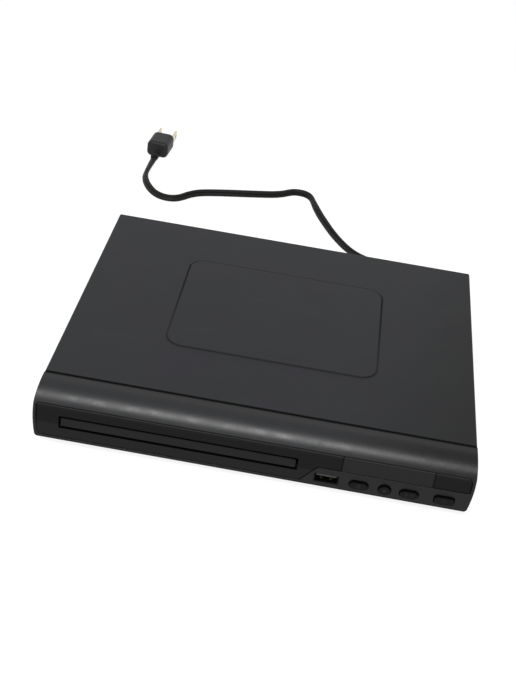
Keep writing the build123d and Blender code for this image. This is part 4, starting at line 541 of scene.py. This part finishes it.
@dataclass(frozen=True)
class BezelShell(Recessed):
    """The bezel, with painted shade in its recess, seam, lip crease, front face and right end."""

    half: float = 0.1160
    low: float = 0.0078
    crease: Pair = (0.0289, 0.0299)
    crease_depth: float = 0.001
    rear: float = -0.0894
    # Painted shade: dimmer towards the right end and near the seam, darker on the front face.
    dim_shade: Colour = (0.0012, 0.0012, 0.0014)
    dim_from: float = 0.028
    dim_to: float = 0.115
    seam_dim: float = 0.4
    front_tone: Colour = (0.0010, 0.0010, 0.0011)
    key_from: float = 0.0500
    key_middle: float = 0.0122
    key_upper: float = 0.0012
    key_light: float = 0.8

    def in_gap(self, g: Graph) -> Value:
        """Painted shade: 1 in the recess, the crease and the seam, but less low in the keys' holes.
        """
        x, y, z = g.axes()
        # Less painted shade on the lower walls of the keys' holes.
        under_key = (x > self.key_from) * (z < self.key_middle - self.key_upper)
        recess = super().in_gap(g) * z.within(self.low, self.crease[0])
        recess = recess * (1 - under_key * self.key_light)
        crease = z.within(*self.crease) * (y < self.face + self.crease_depth)
        return (recess.most(crease) * (abs(x) < self.half)).most(y > self.rear)

    def hue(self, g: Graph) -> Value:
        """The shell's colour, with painted shade to the right, near the seam, on its front and in
        gaps.
        """
        tone = Finish.hue(self, g)
        x, y, z = g.axes()
        # Painted shade: dimmer to the right and near the seam, darker on the front face.
        near_seam = y.ramp(-0.0955, -0.0905) * self.seam_dim
        painted_dimming = x.ramp(self.dim_from, self.dim_to).most(near_seam)
        tone = g.blend(painted_dimming, tone, self.dim_shade)
        face = (y < self.face + self.behind) * (z < self.crease[0])
        tone = g.blend(face, tone, self.front_tone)
        return g.blend(self.in_gap(g), tone, self.dark)


@dataclass(frozen=True)
class Inset(Recessed):
    """Panel let into the front: painted shade at its thin edge, a painted line along its top."""

    left: float = -0.1164
    right: float = 0.1164
    bottom: float = 0.0
    top: float = 0.0
    line: float = 0.0004
    # Painted highlight along the top edge; a panel sitting in a gap sets it to painted shade.
    top_line: Colour = (0.034, 0.034, 0.035)

    def inside(self, g: Graph) -> Value:
        """How far a point lies inside the panel's ends and lower edge."""
        x, _, z = g.axes()
        return (x - self.left).least(self.right - x).least(z - self.bottom)

    def tone(self, g: Graph) -> Value:
        """The panel's colour away from its edges."""
        return Finish.hue(self, g)

    def hue(self, g: Graph) -> Value:
        """The panel's colour, its painted top line and painted shade at its edges and gaps."""
        upper = (self.top - g.axes()[2]).ramp(self.line * 1.5, self.line * 0.7)
        lined = g.blend(upper, self.tone(g), self.top_line)
        edge = self.inside(g).ramp(self.line * 1.4, self.line * 0.6)
        return g.blend(edge.most(self.in_gap(g)), lined, self.dark)


@dataclass(frozen=True)
class TrimPanel(Inset):
    """The tray slot's panel: stepped up on its right, lighter along its foot by painted reflection.
    """

    step: float = 0.0193
    slope: Pair = (0.0268, 0.0085)
    steep: Pair = (0.7664, 0.6423)
    slot_middle: Pair = (-0.0397, 0.0189)
    slot_half: Pair = (0.0644, 0.0038)
    # Painted reflection: lighter below the sheen line.
    sheen_line: float = 0.0168
    sheen: Colour = (0.0145, 0.0145, 0.0149)

    def inside(self, g: Graph) -> Value:
        """How far a point lies inside the panel's outline and outside its slot."""
        x, _, z = g.axes()
        across = (x - self.slope[0]) * self.steep[0] - (z - self.slope[1]) * self.steep[1]
        foot = (z - self.bottom).least(-0.0003 - across)
        outline = foot.most(z - self.step).least(self.right - x).least(x - self.left)
        wide = abs(x - self.slot_middle[0]) - self.slot_half[0]
        high = abs(z - self.slot_middle[1]) - self.slot_half[1]
        return outline.least(wide.most(high) + self.line * 0.6)

    def tone(self, g: Graph) -> Value:
        """Painted reflection: dark above the sheen line, lighter below it and towards its top edge.
        """
        x, _, z = g.axes()
        low = (z + x * 0.004).ramp(self.sheen_line + 0.0006, self.sheen_line - 0.0006)
        high = z.ramp(self.top - 0.0026, self.top) * 0.8
        return g.blend(low.most(high), super().tone(g), self.sheen)


@dataclass(frozen=True)
class UsbSocket(Finish):
    """Socket, black in front of its mouth and plated behind, with a pale tongue and gilt springs.
    """

    middle: float = 0.041
    mouth: float = -0.0960
    tongue: Colour = (0.070, 0.068, 0.060)
    spring: Colour = (0.040, 0.036, 0.020)
    black: Colour = grey(0.0015)
    tongue_y: Pair = (-0.1042, -0.1030)
    tongue_z: Pair = (0.0126, 0.0146)
    tongue_half: float = 0.0053
    spring_y: Pair = (-0.1024, -0.1004)
    spring_top: float = 0.0118
    spring_out: float = 0.0026
    spring_half: float = 0.0007

    def hue(self, g: Graph) -> Value:
        """Black mouth with the tongue's front and two springs in it, plating behind."""
        x, y, z = g.axes()
        across = abs(x - self.middle)
        front = z.within(*self.tongue_z) * (across < self.tongue_half) * y.within(*self.tongue_y)
        springs = (abs(across - self.spring_out) < self.spring_half) * (z < self.spring_top)
        springs = springs * y.within(*self.spring_y)
        mouth = g.blend(y < self.mouth, super().hue(g), self.black)
        return g.blend(springs, g.blend(front, mouth, self.tongue), self.spring)

    def metal(self, g: Graph) -> Value:
        """Metal behind the mouth."""
        return (g.axes()[1] > self.mouth) * self.metallic


@dataclass(frozen=True)
class Laminate(Finish):
    """Circuit board: solder mask over traces, with tinned pads."""

    trace: Colour = (0.05, 0.26, 0.11)
    pad: Colour = (0.62, 0.62, 0.58)

    def pads(self, g: Graph) -> Value:
        """1 on a pad."""
        return g.cells(0.004).ramp(0.19, 0.16)

    def hue(self, g: Graph) -> Value:
        """Mask, traces and pads."""
        x, y, _ = g.axes()
        lanes = ((x + y * 0.5) % 0.0016).ramp(0.0006, 0.0008)
        lanes = lanes * g.noise(0.012, 1.0).ramp(0.48, 0.52)
        board = g.blend(lanes, super().hue(g), self.trace)
        return g.blend(self.pads(g), board, self.pad)

    def metal(self, g: Graph) -> Value:
        """The pads are metal."""
        return self.pads(g)


@dataclass(frozen=True)
class TwoTone(Finish):
    """A piece with a second colour where its surface faces up or lies in a band of one axis."""

    second: Colour = grey(0.6)
    axis: int = 2
    low: float = -1.0
    high: float = 1.0
    facing_up: bool = False
    second_metal: float = 0.0

    def second_part(self, g: Graph) -> Value:
        """1 on the second colour's part."""
        if self.facing_up:
            return g.axes(g.facing())[2].ramp(0.8, 0.95)
        along = g.axes()[self.axis]
        return along.within(self.low, self.high)

    def hue(self, g: Graph) -> Value:
        """Both colours."""
        return g.blend(self.second_part(g), super().hue(g), self.second)

    def metal(self, g: Graph) -> Value:
        """Metal on either part, as each is."""
        part = self.second_part(g)
        return part * self.second_metal + (1 - part) * self.metallic


@dataclass(frozen=True)
class SocketInserts(Finish):
    """Coloured inserts of the three sockets, told apart by their place across the back."""

    middle: float = -0.063
    half_pitch: float = 0.0075
    centre_colour: Colour = (0.72, 0.71, 0.68)
    right_colour: Colour = (0.5, 0.02, 0.02)

    def hue(self, g: Graph) -> Value:
        """Yellow, white and red in turn."""
        x = g.axes()[0]
        two = g.blend(x > self.middle - self.half_pitch, super().hue(g), self.centre_colour)
        return g.blend(x > self.middle + self.half_pitch, two, self.right_colour)


@dataclass(frozen=True)
class Digits(Finish):
    """Display block with unlit digit strokes on its front."""

    stroke: Colour = (0.32, 0.32, 0.3)
    pitch: float = 0.0085
    middle_z: float = 0.0237

    def hue(self, g: Graph) -> Value:
        """Rows of figure-eight strokes."""
        x, y, z = g.axes()
        u, v = abs(x % self.pitch - self.pitch / 2), abs(z - self.middle_z)
        bars = (abs(v - 0.0022) < 0.0003).most(v < 0.0003) * (u < 0.0018)
        posts = (abs(u - 0.0018) < 0.0003) * (v < 0.0025)
        front = y < -0.1
        return g.blend(bars.most(posts) * front, super().hue(g), self.stroke)


@dataclass(frozen=True)
class Wires(Finish):
    """Insulated wires: pale ribbon cores in front, a brown and a blue lead at the back."""

    ribbon_line: Colour = (0.45, 0.45, 0.44)
    brown: Colour = (0.12, 0.045, 0.02)
    blue: Colour = (0.02, 0.06, 0.3)
    behind: float = 0.06
    split: float = 0.066

    def hue(self, g: Graph) -> Value:
        """The ribbon's cores and the two leads."""
        x, y, _ = g.axes()
        cores = (x % 0.001).ramp(0.0002, 0.0004)
        ribbon = g.blend(cores, self.ribbon_line, super().hue(g))
        leads = g.blend(x > self.split, self.brown, self.blue)
        return g.blend(y > self.behind, ribbon, leads)


@dataclass(frozen=True)
class GlassTube(TwoTone):
    """Fuse: clear tube between plated caps."""

    clearness: float = 0.65

    def sockets(self, g: Graph) -> dict[str, object]:
        """The shader's inputs, see-through between the caps."""
        sockets = super().sockets(g)
        sockets["Alpha"] = 1 - self.second_part(g) * self.clearness
        return sockets


def sheet_steel(name: str, roughness: float = 0.34) -> Brushed:
    """Bright zinc-plated sheet."""
    return Brushed(name, (0.5, 0.51, 0.52), (0.62, 0.62, 0.61), roughness, 0.14, depth=0.000002)


def bright_metal(name: str, colour: Colour, roughness: float = 0.16) -> Brushed:
    """Plated or polished metal."""
    lighter = tuple(min(1.0, part * 1.12) for part in colour)
    return Brushed(name, colour, lighter, roughness, 0.08, depth=0.000001, streak=(1.0, 0.2, 1.0))


def moulded(name: str, colour: Colour, roughness: float = 0.45, **more: object) -> Finish:
    """Plain moulded plastic or rubber, whose colour drifts by a tenth or so."""
    drift = tuple(part * 1.16 + 0.001 for part in colour)
    return Finish(name, colour, drift, roughness, **more)


PAINT = BakedPaint(
    "cover_paint", (0.0098, 0.0114, 0.0124), (0.0112, 0.0128, 0.0136),
    roughness=0.50, spread=0.10, drift_size=0.05, grain=0.0007, depth=0.000006, edge=0.0004,
)
BLACK_STEEL = moulded("screw_black", (0.014, 0.014, 0.015), 0.4, metallic=0.4, grain=0.0004)
BEZEL = BezelShell(
    "bezel_plastic", (0.0105, 0.0110, 0.0120), (0.0128, 0.0131, 0.0146),
    roughness=0.38, spread=0.24, drift_size=0.011,
    grain=0.0012, depth=0.000036, edge=0.0003, specular=0.26,
)
# Its top line is a painted highlight and its sheen a painted reflection.
TRIM = TrimPanel(
    "trim_plastic", (0.0088, 0.0088, 0.0090), (0.0102, 0.0102, 0.0105),
    roughness=0.36, depth=0.000003, specular=0.03,
    line=0.00034, bottom=0.0088, top=0.0291,
)
# Its top line is painted shade, for the gap above the door.
DOOR = Inset(
    "door_plastic", (0.0145, 0.0145, 0.0148), (0.0160, 0.0160, 0.0164),
    roughness=0.38, depth=0.000003, specular=0.03,
    left=-0.1032, right=0.0238, bottom=0.0163, top=0.0217,
    line=0.0003, top_line=GAP_SHADE,
)
# Its top line is a painted highlight.
WINDOW = Inset(
    "window_plastic", (0.0092, 0.0092, 0.0098), (0.0106, 0.0106, 0.0112),
    roughness=0.24, depth=0.000001, specular=0.12,
    left=0.0481, right=0.0967, bottom=0.0193, top=0.0291, line=0.0003,
)
USB_SHELL = UsbSocket(
    "usb_nickel", (0.42, 0.41, 0.38), (0.48, 0.47, 0.44), roughness=0.3, metallic=1.0
)
TRAY_BLACK = moulded("tray_plastic", (0.016, 0.016, 0.0175), 0.48, grain=0.0005, edge=0.0002)
FRAME_BLACK = moulded("frame_plastic", (0.03, 0.03, 0.031), 0.5)
CLAMP_DARK = moulded("clamp_plastic", grey(0.07), 0.42)
ACETAL = moulded("gear_acetal", (0.72, 0.70, 0.62), 0.38, drift_size=0.008)
CORD_BLACK = moulded(
    "cord_pvc", (0.0098, 0.0096, 0.0090), 0.5, grain=0.0011, depth=0.000012, specular=0.10
)
PLUG_BLACK = moulded("plug_pvc", (0.0125, 0.0125, 0.0132), 0.46, edge=0.0004)
SHELL = bright_metal("shell_nickel", (0.56, 0.55, 0.52), 0.24)
ROD = bright_metal("rod_steel", (0.66, 0.67, 0.68), 0.12)
CAN = bright_metal("motor_can", (0.55, 0.55, 0.53), 0.26)


@dataclass
class SubAssembly:
    """A group of the player's pieces that are made and dressed together."""

    nodes: dict[str, bpy.types.Object]
    made: list[bpy.types.Object] = field(default_factory=list, init=False)

    def finishes(self) -> dict[str, Finish]:
        """The finish of each CAD node of the group, by name."""
        return {}

    def dress(self) -> None:
        """Gives each CAD node of the group its finish."""
        for name, finish in self.finishes().items():
            self.paint(self.nodes[name], finish)

    def paint(self, piece: bpy.types.Object, finish: Finish) -> None:
        """Puts a finish on a piece and reports it."""
        if not piece.material_slots:
            piece.data.materials.append(None)
        for slot in piece.material_slots:
            slot.material = finish.material()
        log.info("%s: %s in %s", type(self).__name__, piece.name, finish.name)

    def piece(
        self,
        name: str,
        points: list[Vector],
        faces: list[tuple[int, ...]],
        finish: Finish,
        body: str = "housing",
    ) -> bpy.types.Object:
        """Makes a new piece from its points and faces.

        Args:
            name: The piece's name.
            points: Its points, in metres.
            faces: Its faces, as numbers of points.
            finish: What it is finished in.
            body: The CAD body that it rides on.

        Returns:
            The new piece.
        """
        mesh = bpy.data.meshes.new(name)
        mesh.from_pydata([tuple(point) for point in points], [], faces)
        mesh.validate()
        made = in_scene(name, mesh)
        mesh.shade_smooth()
        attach(made, body)
        self.paint(made, finish)
        self.made.append(made)
        return made

    def build(self) -> None:
        """Makes what the group adds to the CAD nodes; nothing, unless the group says so."""


@dataclass
class Housing(SubAssembly):
    """Pan, cover, feet and screws."""

    def finishes(self) -> dict[str, Finish]:
        """Sheet steel inside, baked paint outside."""
        return {
            "base_chassis": sheet_steel("chassis_steel"),
            "top_cover": PAINT,
            "cover_screws": BLACK_STEEL,
            "feet": moulded("foot_rubber", grey(0.022), 0.62, depth=0.00001),
            "inner_screws": bright_metal("screw_zinc", (0.6, 0.58, 0.53), 0.28),
        }


@dataclass
class FrontPanel(SubAssembly):
    """Bezel, trim, window, keys and what sits behind them."""

    keys: tuple[float, ...] = (58.5, 72.4, 85.5, 104.3)
    key_height: float = 12.2

    def key(self, mark: Mark, across: float) -> KeyFace:
        """The finish of the key that many millimetres across the front."""
        return KeyFace(
            "key_" + mark.value, (0.0064, 0.0064, 0.0067), (0.0078, 0.0078, 0.0082),
            roughness=0.46, specular=0.05, mark=mark, centre=(across, self.key_height),
        )

    def finishes(self) -> dict[str, Finish]:
        """Satin bezel, smooth trim, smoked window and marked keys."""
        finishes: dict[str, Finish] = {
            "front_bezel": BEZEL,
            "front_trim": TRIM,
            "display_window": WINDOW,
            "front_board": Laminate(
                "board_brown", (0.24, 0.15, 0.07), (0.3, 0.2, 0.1), 0.5, trace=(0.2, 0.12, 0.05)
            ),
            "key_switches": TwoTone(
                "switch_body", grey(0.03), grey(0.04),
                second=(0.6, 0.6, 0.58), second_metal=1.0, axis=1, low=-0.0972, high=-0.0962,
            ),
            "display_module": Digits("display_block", grey(0.02), grey(0.03)),
            "usb_port": USB_SHELL,
        }
        for mark, across in zip(Mark, self.keys):
            finishes["key_" + mark.value] = self.key(mark, across)
        return finishes


@dataclass
class Loader(SubAssembly):
    """Tray with its door, the gears that drive it, and the clamp over it."""

    def finishes(self) -> dict[str, Finish]:
        """Black mouldings, white gears, bright steel."""
        return {
            "loader_frame": FRAME_BLACK,
            "disc_tray": TRAY_BLACK,
            "tray_door": DOOR,
            **dict.fromkeys(("tray_gear", "belt_pulley", "motor_pulley", "cam_slider"), ACETAL),
            "drive_belt": moulded("belt_rubber", grey(0.014), 0.6),
            "tray_motor": CAN,
            "clamp_bridge": sheet_steel("bridge_steel", 0.3),
            "clamp_disc": CLAMP_DARK,
            "clamp_cap": CLAMP_DARK,
        }


@dataclass
class Deck(SubAssembly):
    """Tilting sub-frame with the spindle, the pickup and its drive."""

    def finishes(self) -> dict[str, Finish]:
        """Steel plate on blue dampers, polished rods and a black pickup with a coated lens."""
        return {
            "deck_frame": FRAME_BLACK,
            "deck_dampers": moulded("damper_rubber", (0.03, 0.09, 0.26), 0.55),
            "deck_plate": sheet_steel("deck_steel", 0.3),
            "spindle_motor": CAN,
            "guide_rods": ROD,
            "sled_screw": ROD,
            "rod_clips": FRAME_BLACK,
            "sled_motor": CAN,
            "turntable": CLAMP_DARK,
            "turntable_pad": moulded("pad_rubber", grey(0.025), 0.7),
            "optical_pickup": moulded("pickup_black", (0.045, 0.045, 0.048), 0.44, grain=0.0003),
            "objective_lens": moulded("lens_coated", (0.12, 0.2, 0.5), 0.06, coat=1.0, depth=0.0),
        }


@dataclass
class Boards(SubAssembly):
    """Circuit boards and what is soldered to them."""

    def finishes(self) -> dict[str, Finish]:
        """Green laminate, black packages, sleeves with bare tops, tape and tin."""
        return {
            "circuit_boards": Laminate(
                "board_green", (0.015, 0.12, 0.04), (0.02, 0.15, 0.05), 0.35
            ),
            "chips": moulded("chip_epoxy", (0.02, 0.02, 0.021), 0.5, grain=0.0003),
            "capacitors": TwoTone(
                "capacitor_sleeve", (0.012, 0.02, 0.07), (0.016, 0.026, 0.085), 0.28,
                second=grey(0.7), facing_up=True, second_metal=1.0,
            ),
            "connectors": moulded("connector_nylon", (0.7, 0.68, 0.6), 0.42),
            "coils": TwoTone(
                "coil_tape", (0.06, 0.058, 0.055), (0.075, 0.07, 0.065),
                second=(0.72, 0.5, 0.06), low=0.0178, high=0.028,
            ),
            "mains_fuse": GlassTube(
                "fuse_glass", (0.62, 0.6, 0.56), (0.7, 0.68, 0.62), 0.2, metallic=1.0,
                second=(0.75, 0.8, 0.8), axis=0, low=0.0735, high=0.0825,
            ),
            "heat_sink": sheet_steel("sink_aluminium", 0.4),
            "inner_wiring": Wires("wire_insulation", (0.62, 0.62, 0.6), (0.7, 0.7, 0.67), 0.4),
        }


@dataclass
class RearPanel(SubAssembly):
    """Sockets at the back."""

    def finishes(self) -> dict[str, Finish]:
        """Nickel barrels and shell, coloured inserts, black block."""
        return {
            "av_jack_block": moulded("jack_block", grey(0.02), 0.45),
            "jack_barrels": bright_metal("barrel_nickel", (0.62, 0.6, 0.56), 0.14),
            "jack_inserts": SocketInserts(
                "socket_inserts", (0.62, 0.42, 0.02), (0.68, 0.48, 0.03), 0.3
            ),
            "hdmi_port": SHELL,
        }


@dataclass
class MainsCord(SubAssembly):
    """Flat two-core cord: down from its strain relief, folded into a hank, then out to its plug."""

    width: float = 0.0054
    thickness: float = 0.0033
    height: float = 0.0022
    hank_middle: Pair = (-0.006, 0.12005)
    half_run: float = 0.033
    outer_lane: float = 0.0206
    lane_step: float = 0.00275
    layer: float = 0.0055
    waist: float = 0.008
    waist_half: float = 0.011
    waist_lift: float = 0.0012
    order: tuple[int, ...] = (0, 1, 2, 3, 2, 1)
    climbing_run: int = 3
    length: float = 1.12
    settles: float = 0.05
    section_steps: int = 8
    twists: tuple[Pair, ...] = (
        (0.00, 0.0), (0.06, 90.0), (0.64, 90.0), (0.71, 30.0), (0.765, 12.0), (0.800, 35.0),
        (0.826, 86.0), (0.860, 74.0), (0.900, 52.0), (0.945, 30.0), (0.975, 64.0), (1.00, 30.0),
    )

    def finishes(self) -> dict[str, Finish]:
        """Black flexible plastic, plated blades."""
        return {
            "strain_relief": PLUG_BLACK,
            "plug_body": PLUG_BLACK,
            "cord_tie": moulded("tie_plastic", grey(0.014), 0.32),
            "plug_blades": bright_metal("blade_plating", (0.60, 0.54, 0.40), 0.2),
        }

    def lead(self) -> list[Point]:
        """The route's points from the strain relief down to the hank."""
        return [
            (0.0660, 0.1177, 0.0200), (0.0660, 0.1257, 0.0200), (0.0650, 0.1350, 0.0140),
            (0.0575, 0.1405, 0.0055), (0.0440, 0.14065, 0.0022), (0.0314, 0.14065, 0.0022),
        ]

    def at_hank(self, x: float, y: float, z: float) -> Point:
        """A point given from the hank's middle, with its height in layers."""
        return (self.hank_middle[0] + x, self.hank_middle[1] + y, self.height + z * self.layer)

    def fold(self, heading: int, start: float, end: float, z: float) -> list[Point]:
        """The four corners that a half turn at a run's end goes round."""
        middle, radius = (start + end) / 2, (start - end) / 2
        reach = abs(radius)
        near = math.tan(math.pi / 8)
        corners = ((near, 1.0), (1.0, near), (1.0, -near), (near, -1.0))
        return [
            self.at_hank(heading * (self.half_run + reach * along), middle + radius * side, z)
            for along, side in corners
        ]

    def hank(self) -> list[Point]:
        """The route's points in the hank: runs drawn in at the waist, joined by half turns."""
        lanes = [self.outer_lane - k * self.lane_step for k in range(4)]
        sides = [1 if k % 2 == 0 else -1 for k in range(len(self.order))]
        rows = [side * lanes[lane] for side, lane in zip(sides, self.order)]
        points: list[Point] = []
        for k, row in enumerate(rows):
            heading = -sides[k]
            low = 0.0 if k <= self.climbing_run else 1.0
            high = 0.0 if k < self.climbing_run else 1.0
            drawn = row - sides[k] * self.waist
            lift = self.waist_lift / self.layer
            points += [
                self.at_hank(-heading * self.half_run, row, low),
                self.at_hank(-heading * self.waist_half, drawn, low * 0.67 + high * 0.33 + lift),
                self.at_hank(heading * self.waist_half, drawn, low * 0.33 + high * 0.67 + lift),
                self.at_hank(heading * self.half_run, row, high),
            ]
            if k + 1 < len(rows):
                points += self.fold(heading, row, rows[k + 1], high)
        return points

    def run(self) -> list[Point]:
        """The route's points from the hank, behind the player and along the floor to the plug."""
        z = self.height
        return [
            (0.0314, 0.1022, 0.0077), (0.0440, 0.1022, 0.0077), (0.0580, 0.1045, 0.0038),
            (0.0690, 0.1120, z), (0.0750, 0.1270, z), (0.0725, 0.1430, z),
            (0.0635, 0.1530, z), (0.0520, 0.1570, z), (0.0400, 0.1650, z),
            (0.0274, 0.1837, z), (0.0169, 0.2053, z), (0.0081, 0.2273, z),
            (0.0036, 0.2431, z), (-0.0089, 0.2454, z), (-0.0193, 0.2356, z),
            (-0.0353, 0.2301, z), (-0.0682, 0.2209, z), (-0.0839, 0.2142, z),
            (-0.0945, 0.1996, z), (-0.1080, 0.2003, z), (-0.1178, 0.2112, z),
            (-0.1242, 0.2264, z), (-0.1245, 0.2409, z), (-0.1236, 0.2622, z),
        ]

    def centre_line(self) -> list[Vector]:
        """Points along the smooth curve that the route's points control."""
        route = self.lead() + self.hank() + self.run()
        curve = bpy.data.curves.new("cord_route", "CURVE")
        curve.dimensions = "3D"
        curve.resolution_u = 8
        spline = curve.splines.new("NURBS")
        spline.points.add(len(route) - 1)
        for point, place in zip(spline.points, route):
            point.co = (*place, 1.0)
        spline.order_u = 3
        spline.use_endpoint_u = True
        holder = bpy.data.objects.new("cord_route", curve)
        mesh = bpy.data.meshes.new_from_object(holder)
        line = [vertex.co.copy() for vertex in mesh.vertices]
        bpy.data.meshes.remove(mesh)
        bpy.data.objects.remove(holder)
        bpy.data.curves.remove(curve)
        return line

    def twist(self, share: float) -> float:
        """How far the flat side is tilted from level at a share of the length, in radians."""
        for (start, first), (end, last) in zip(self.twists, self.twists[1:]):
            if share <= end:
                t = max(0.0, (share - start) / (end - start))
                t = t * t * (3 - 2 * t)
                return math.radians(first + (last - first) * t)
        return math.radians(self.twists[-1][1])

    def section(self) -> list[Pair]:
        """Outline of the two cores side by side: across, then through the thickness."""
        radius = self.thickness / 2
        offset = (self.width - self.thickness) / 2
        waist = math.acos(-offset / radius)
        outline = []
        for side in (1, -1):
            for k in range(self.section_steps + 1):
                angle = waist * (2 * k / self.section_steps - 1)
                across = offset + radius * math.cos(angle)
                outline.append((side * across, side * radius * math.sin(angle)))
        return outline

    def build(self) -> None:
        """Makes the cord as one flat tube along its centre line."""
        line = self.centre_line()
        travelled = [0.0]
        for before, here in zip(line, line[1:]):
            travelled.append(travelled[-1] + (here - before).length)
        total = travelled[-1]
        outline = self.section()
        points: list[Vector] = []
        for k, place in enumerate(line):
            share = travelled[k] / total
            along = (line[min(k + 1, len(line) - 1)] - line[max(k - 1, 0)]).normalized()
            side = along.cross(Vector((0, 0, 1))).normalized()
            rise = side.cross(along)
            tilt = self.twist(share)
            across = side * math.cos(tilt) + rise * math.sin(tilt)
            through = across.cross(along)
            half = (self.width - self.thickness) / 2 * abs(math.sin(tilt)) + self.thickness / 2
            settled = min(1.0, share / self.settles)
            centre = place + Vector((0, 0, (half - self.height) * settled))
            points += [centre + across * u + through * v for u, v in outline]
        count = len(outline)
        faces: list[tuple[int, ...]] = []
        for k in range(len(line) - 1):
            ring, ahead = k * count, (k + 1) * count
            for i in range(count):
                after = (i + 1) % count
                faces.append((ring + i, ring + after, ahead + after, ahead + i))
        faces.append(tuple(reversed(range(count))))
        faces.append(tuple(range((len(line) - 1) * count, len(line) * count)))
        cord = self.piece("mains_cord", points, faces, CORD_BLACK)
        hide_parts("cord_lead", "cord_hank", "cord_run")
        [self.nodes[name] for name in self.finishes()]
        log.info("mains_cord: %.3f m along its centre line", total)


@dataclass(frozen=True)
class Viewpoint:
    """The photograph's camera."""

    place: Point = (0.014079, -0.606147, 0.422697)
    pitch: float = 0.5864487
    yaw: float = -0.0391618
    roll: float = 0.1517582
    focal_pixels: float = 1212.1026
    frame_height: float = 688.0
    sensor: float = 36.0

    def make(self) -> None:
        """Makes the camera and looks through it."""
        level = math.cos(self.pitch)
        north = math.cos(self.yaw) * level
        ahead = Vector((math.sin(self.yaw) * level, north, -math.sin(self.pitch)))
        right = Vector((math.cos(self.yaw), -math.sin(self.yaw), 0.0))
        up = right.cross(ahead)
        across = right * math.cos(self.roll) + up * math.sin(self.roll)
        upward = up * math.cos(self.roll) - right * math.sin(self.roll)
        data = bpy.data.cameras.new("photo_camera")
        data.sensor_width = self.sensor
        data.lens = self.focal_pixels * self.sensor / self.frame_height
        data.clip_start = 0.01
        camera = in_scene("photo_camera", data)
        turn = Matrix((across, upward, -ahead)).transposed()
        camera.matrix_world = Matrix.Translation(self.place) @ turn.to_4x4()
        bpy.context.scene.camera = camera


@dataclass(frozen=True)
class Lamp:
    """One soft area lamp aimed at the player."""

    name: str
    place: Point
    size: Pair
    watts: float
    aim: Point = (0.0, 0.0, 0.02)

    def make(self) -> None:
        """Hangs the lamp."""
        data = bpy.data.lights.new(self.name, "AREA")
        data.shape = "RECTANGLE"
        data.size, data.size_y = self.size
        data.energy = self.watts
        lamp = in_scene(self.name, data)
        lamp.location = self.place
        toward = Vector(self.aim) - Vector(self.place)
        lamp.rotation_euler = toward.to_track_quat("-Z", "Y").to_euler()


@dataclass
class Studio:
    """White floor and surround with soft lamps."""

    ambient: float = 0.40
    floor_half: float = 6.0
    floor_albedo: float = 0.8
    seen_albedo: float = 0.22
    seen_glow: float = 0.86
    lamps: tuple[Lamp, ...] = (
        Lamp("strip_front", (-0.09, -0.95, 1.12), (0.52, 0.42), 19.5),
        Lamp("side_left", (-1.5, 0.3, 1.0), (0.8, 1.2), 4.0),
    )

    def seen(self, g: Graph) -> Value:
        """1 where the camera looks at it, straight, in a reflection or through glass."""
        path = g.node("ShaderNodeLightPath").socket.node.outputs
        rays = ("Is Camera Ray", "Is Glossy Ray", "Is Transmission Ray")
        ways = [Value(g, path[name]) for name in rays]
        return ways[0].most(ways[1]).most(ways[2])

    def floor(self) -> None:
        """Lays the floor, white where it is seen and still shaded by the player."""
        material = bpy.data.materials.new("studio_floor")
        g = Graph(material)
        cloth = g.blend(g.noise(0.3), grey(self.floor_albedo), grey(self.floor_albedo * 0.98))
        plain = g.node("ShaderNodeBsdfDiffuse", inputs={"Color": cloth})
        lit = g.node("ShaderNodeBsdfDiffuse", inputs={"Color": grey(self.seen_albedo)})
        glow = g.node("ShaderNodeEmission", inputs={"Strength": self.seen_glow})
        white = g.node("ShaderNodeAddShader", inputs={0: lit, 1: glow})
        mixed = g.node("ShaderNodeMixShader", inputs={0: self.seen(g), 1: plain, 2: white})
        g.node("ShaderNodeOutputMaterial", inputs={"Surface": mixed})
        half = self.floor_half
        mesh = bpy.data.meshes.new("floor")
        square = [(-half, -half, 0), (half, -half, 0), (half, half, 0), (-half, half, 0)]
        mesh.from_pydata(square, [], [(0, 1, 2, 3)])
        mesh.materials.append(material)
        floor = in_scene("floor", mesh)
        floor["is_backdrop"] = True

    def surround(self) -> None:
        """Makes the world: white where it is seen, softer as light."""
        world = bpy.data.worlds.new("studio_world")
        bpy.context.scene.world = world
        g = Graph(world)
        strength = self.seen(g) * (1.0 - self.ambient) + self.ambient
        light = g.node("ShaderNodeBackground", inputs={"Color": grey(1.0), "Strength": strength})
        g.node("ShaderNodeOutputWorld", inputs={"Surface": light})

    def make(self) -> None:
        """Sets up the whole studio."""
        bpy.context.scene.view_settings.view_transform = "Standard"
        self.floor()
        self.surround()
        for lamp in self.lamps:
            lamp.make()


def corners(bounds: tuple[Vector, Vector]) -> list[list[float]]:
    """A box's two corners as plain lists."""
    return [list(corner) for corner in bounds]


def main() -> None:
    """Loads the frame, makes and dresses each sub-assembly, and measures the size before and after.
    """
    logging.basicConfig(level=logging.INFO, format="%(message)s")
    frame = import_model()
    cad_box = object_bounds()
    nodes = frame["nodes"]
    Viewpoint().make()
    for group in (MainsCord, Housing, FrontPanel, Loader, Deck, Boards, RearPanel):
        part = group(nodes)
        part.build()
        part.dress()
        log.info("%s: %d added", group.__name__, len(part.made))
    Studio().make()
    sizes = {"cad": corners(cad_box), "visual": corners(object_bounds())}


if __name__ == "__main__":
    main()
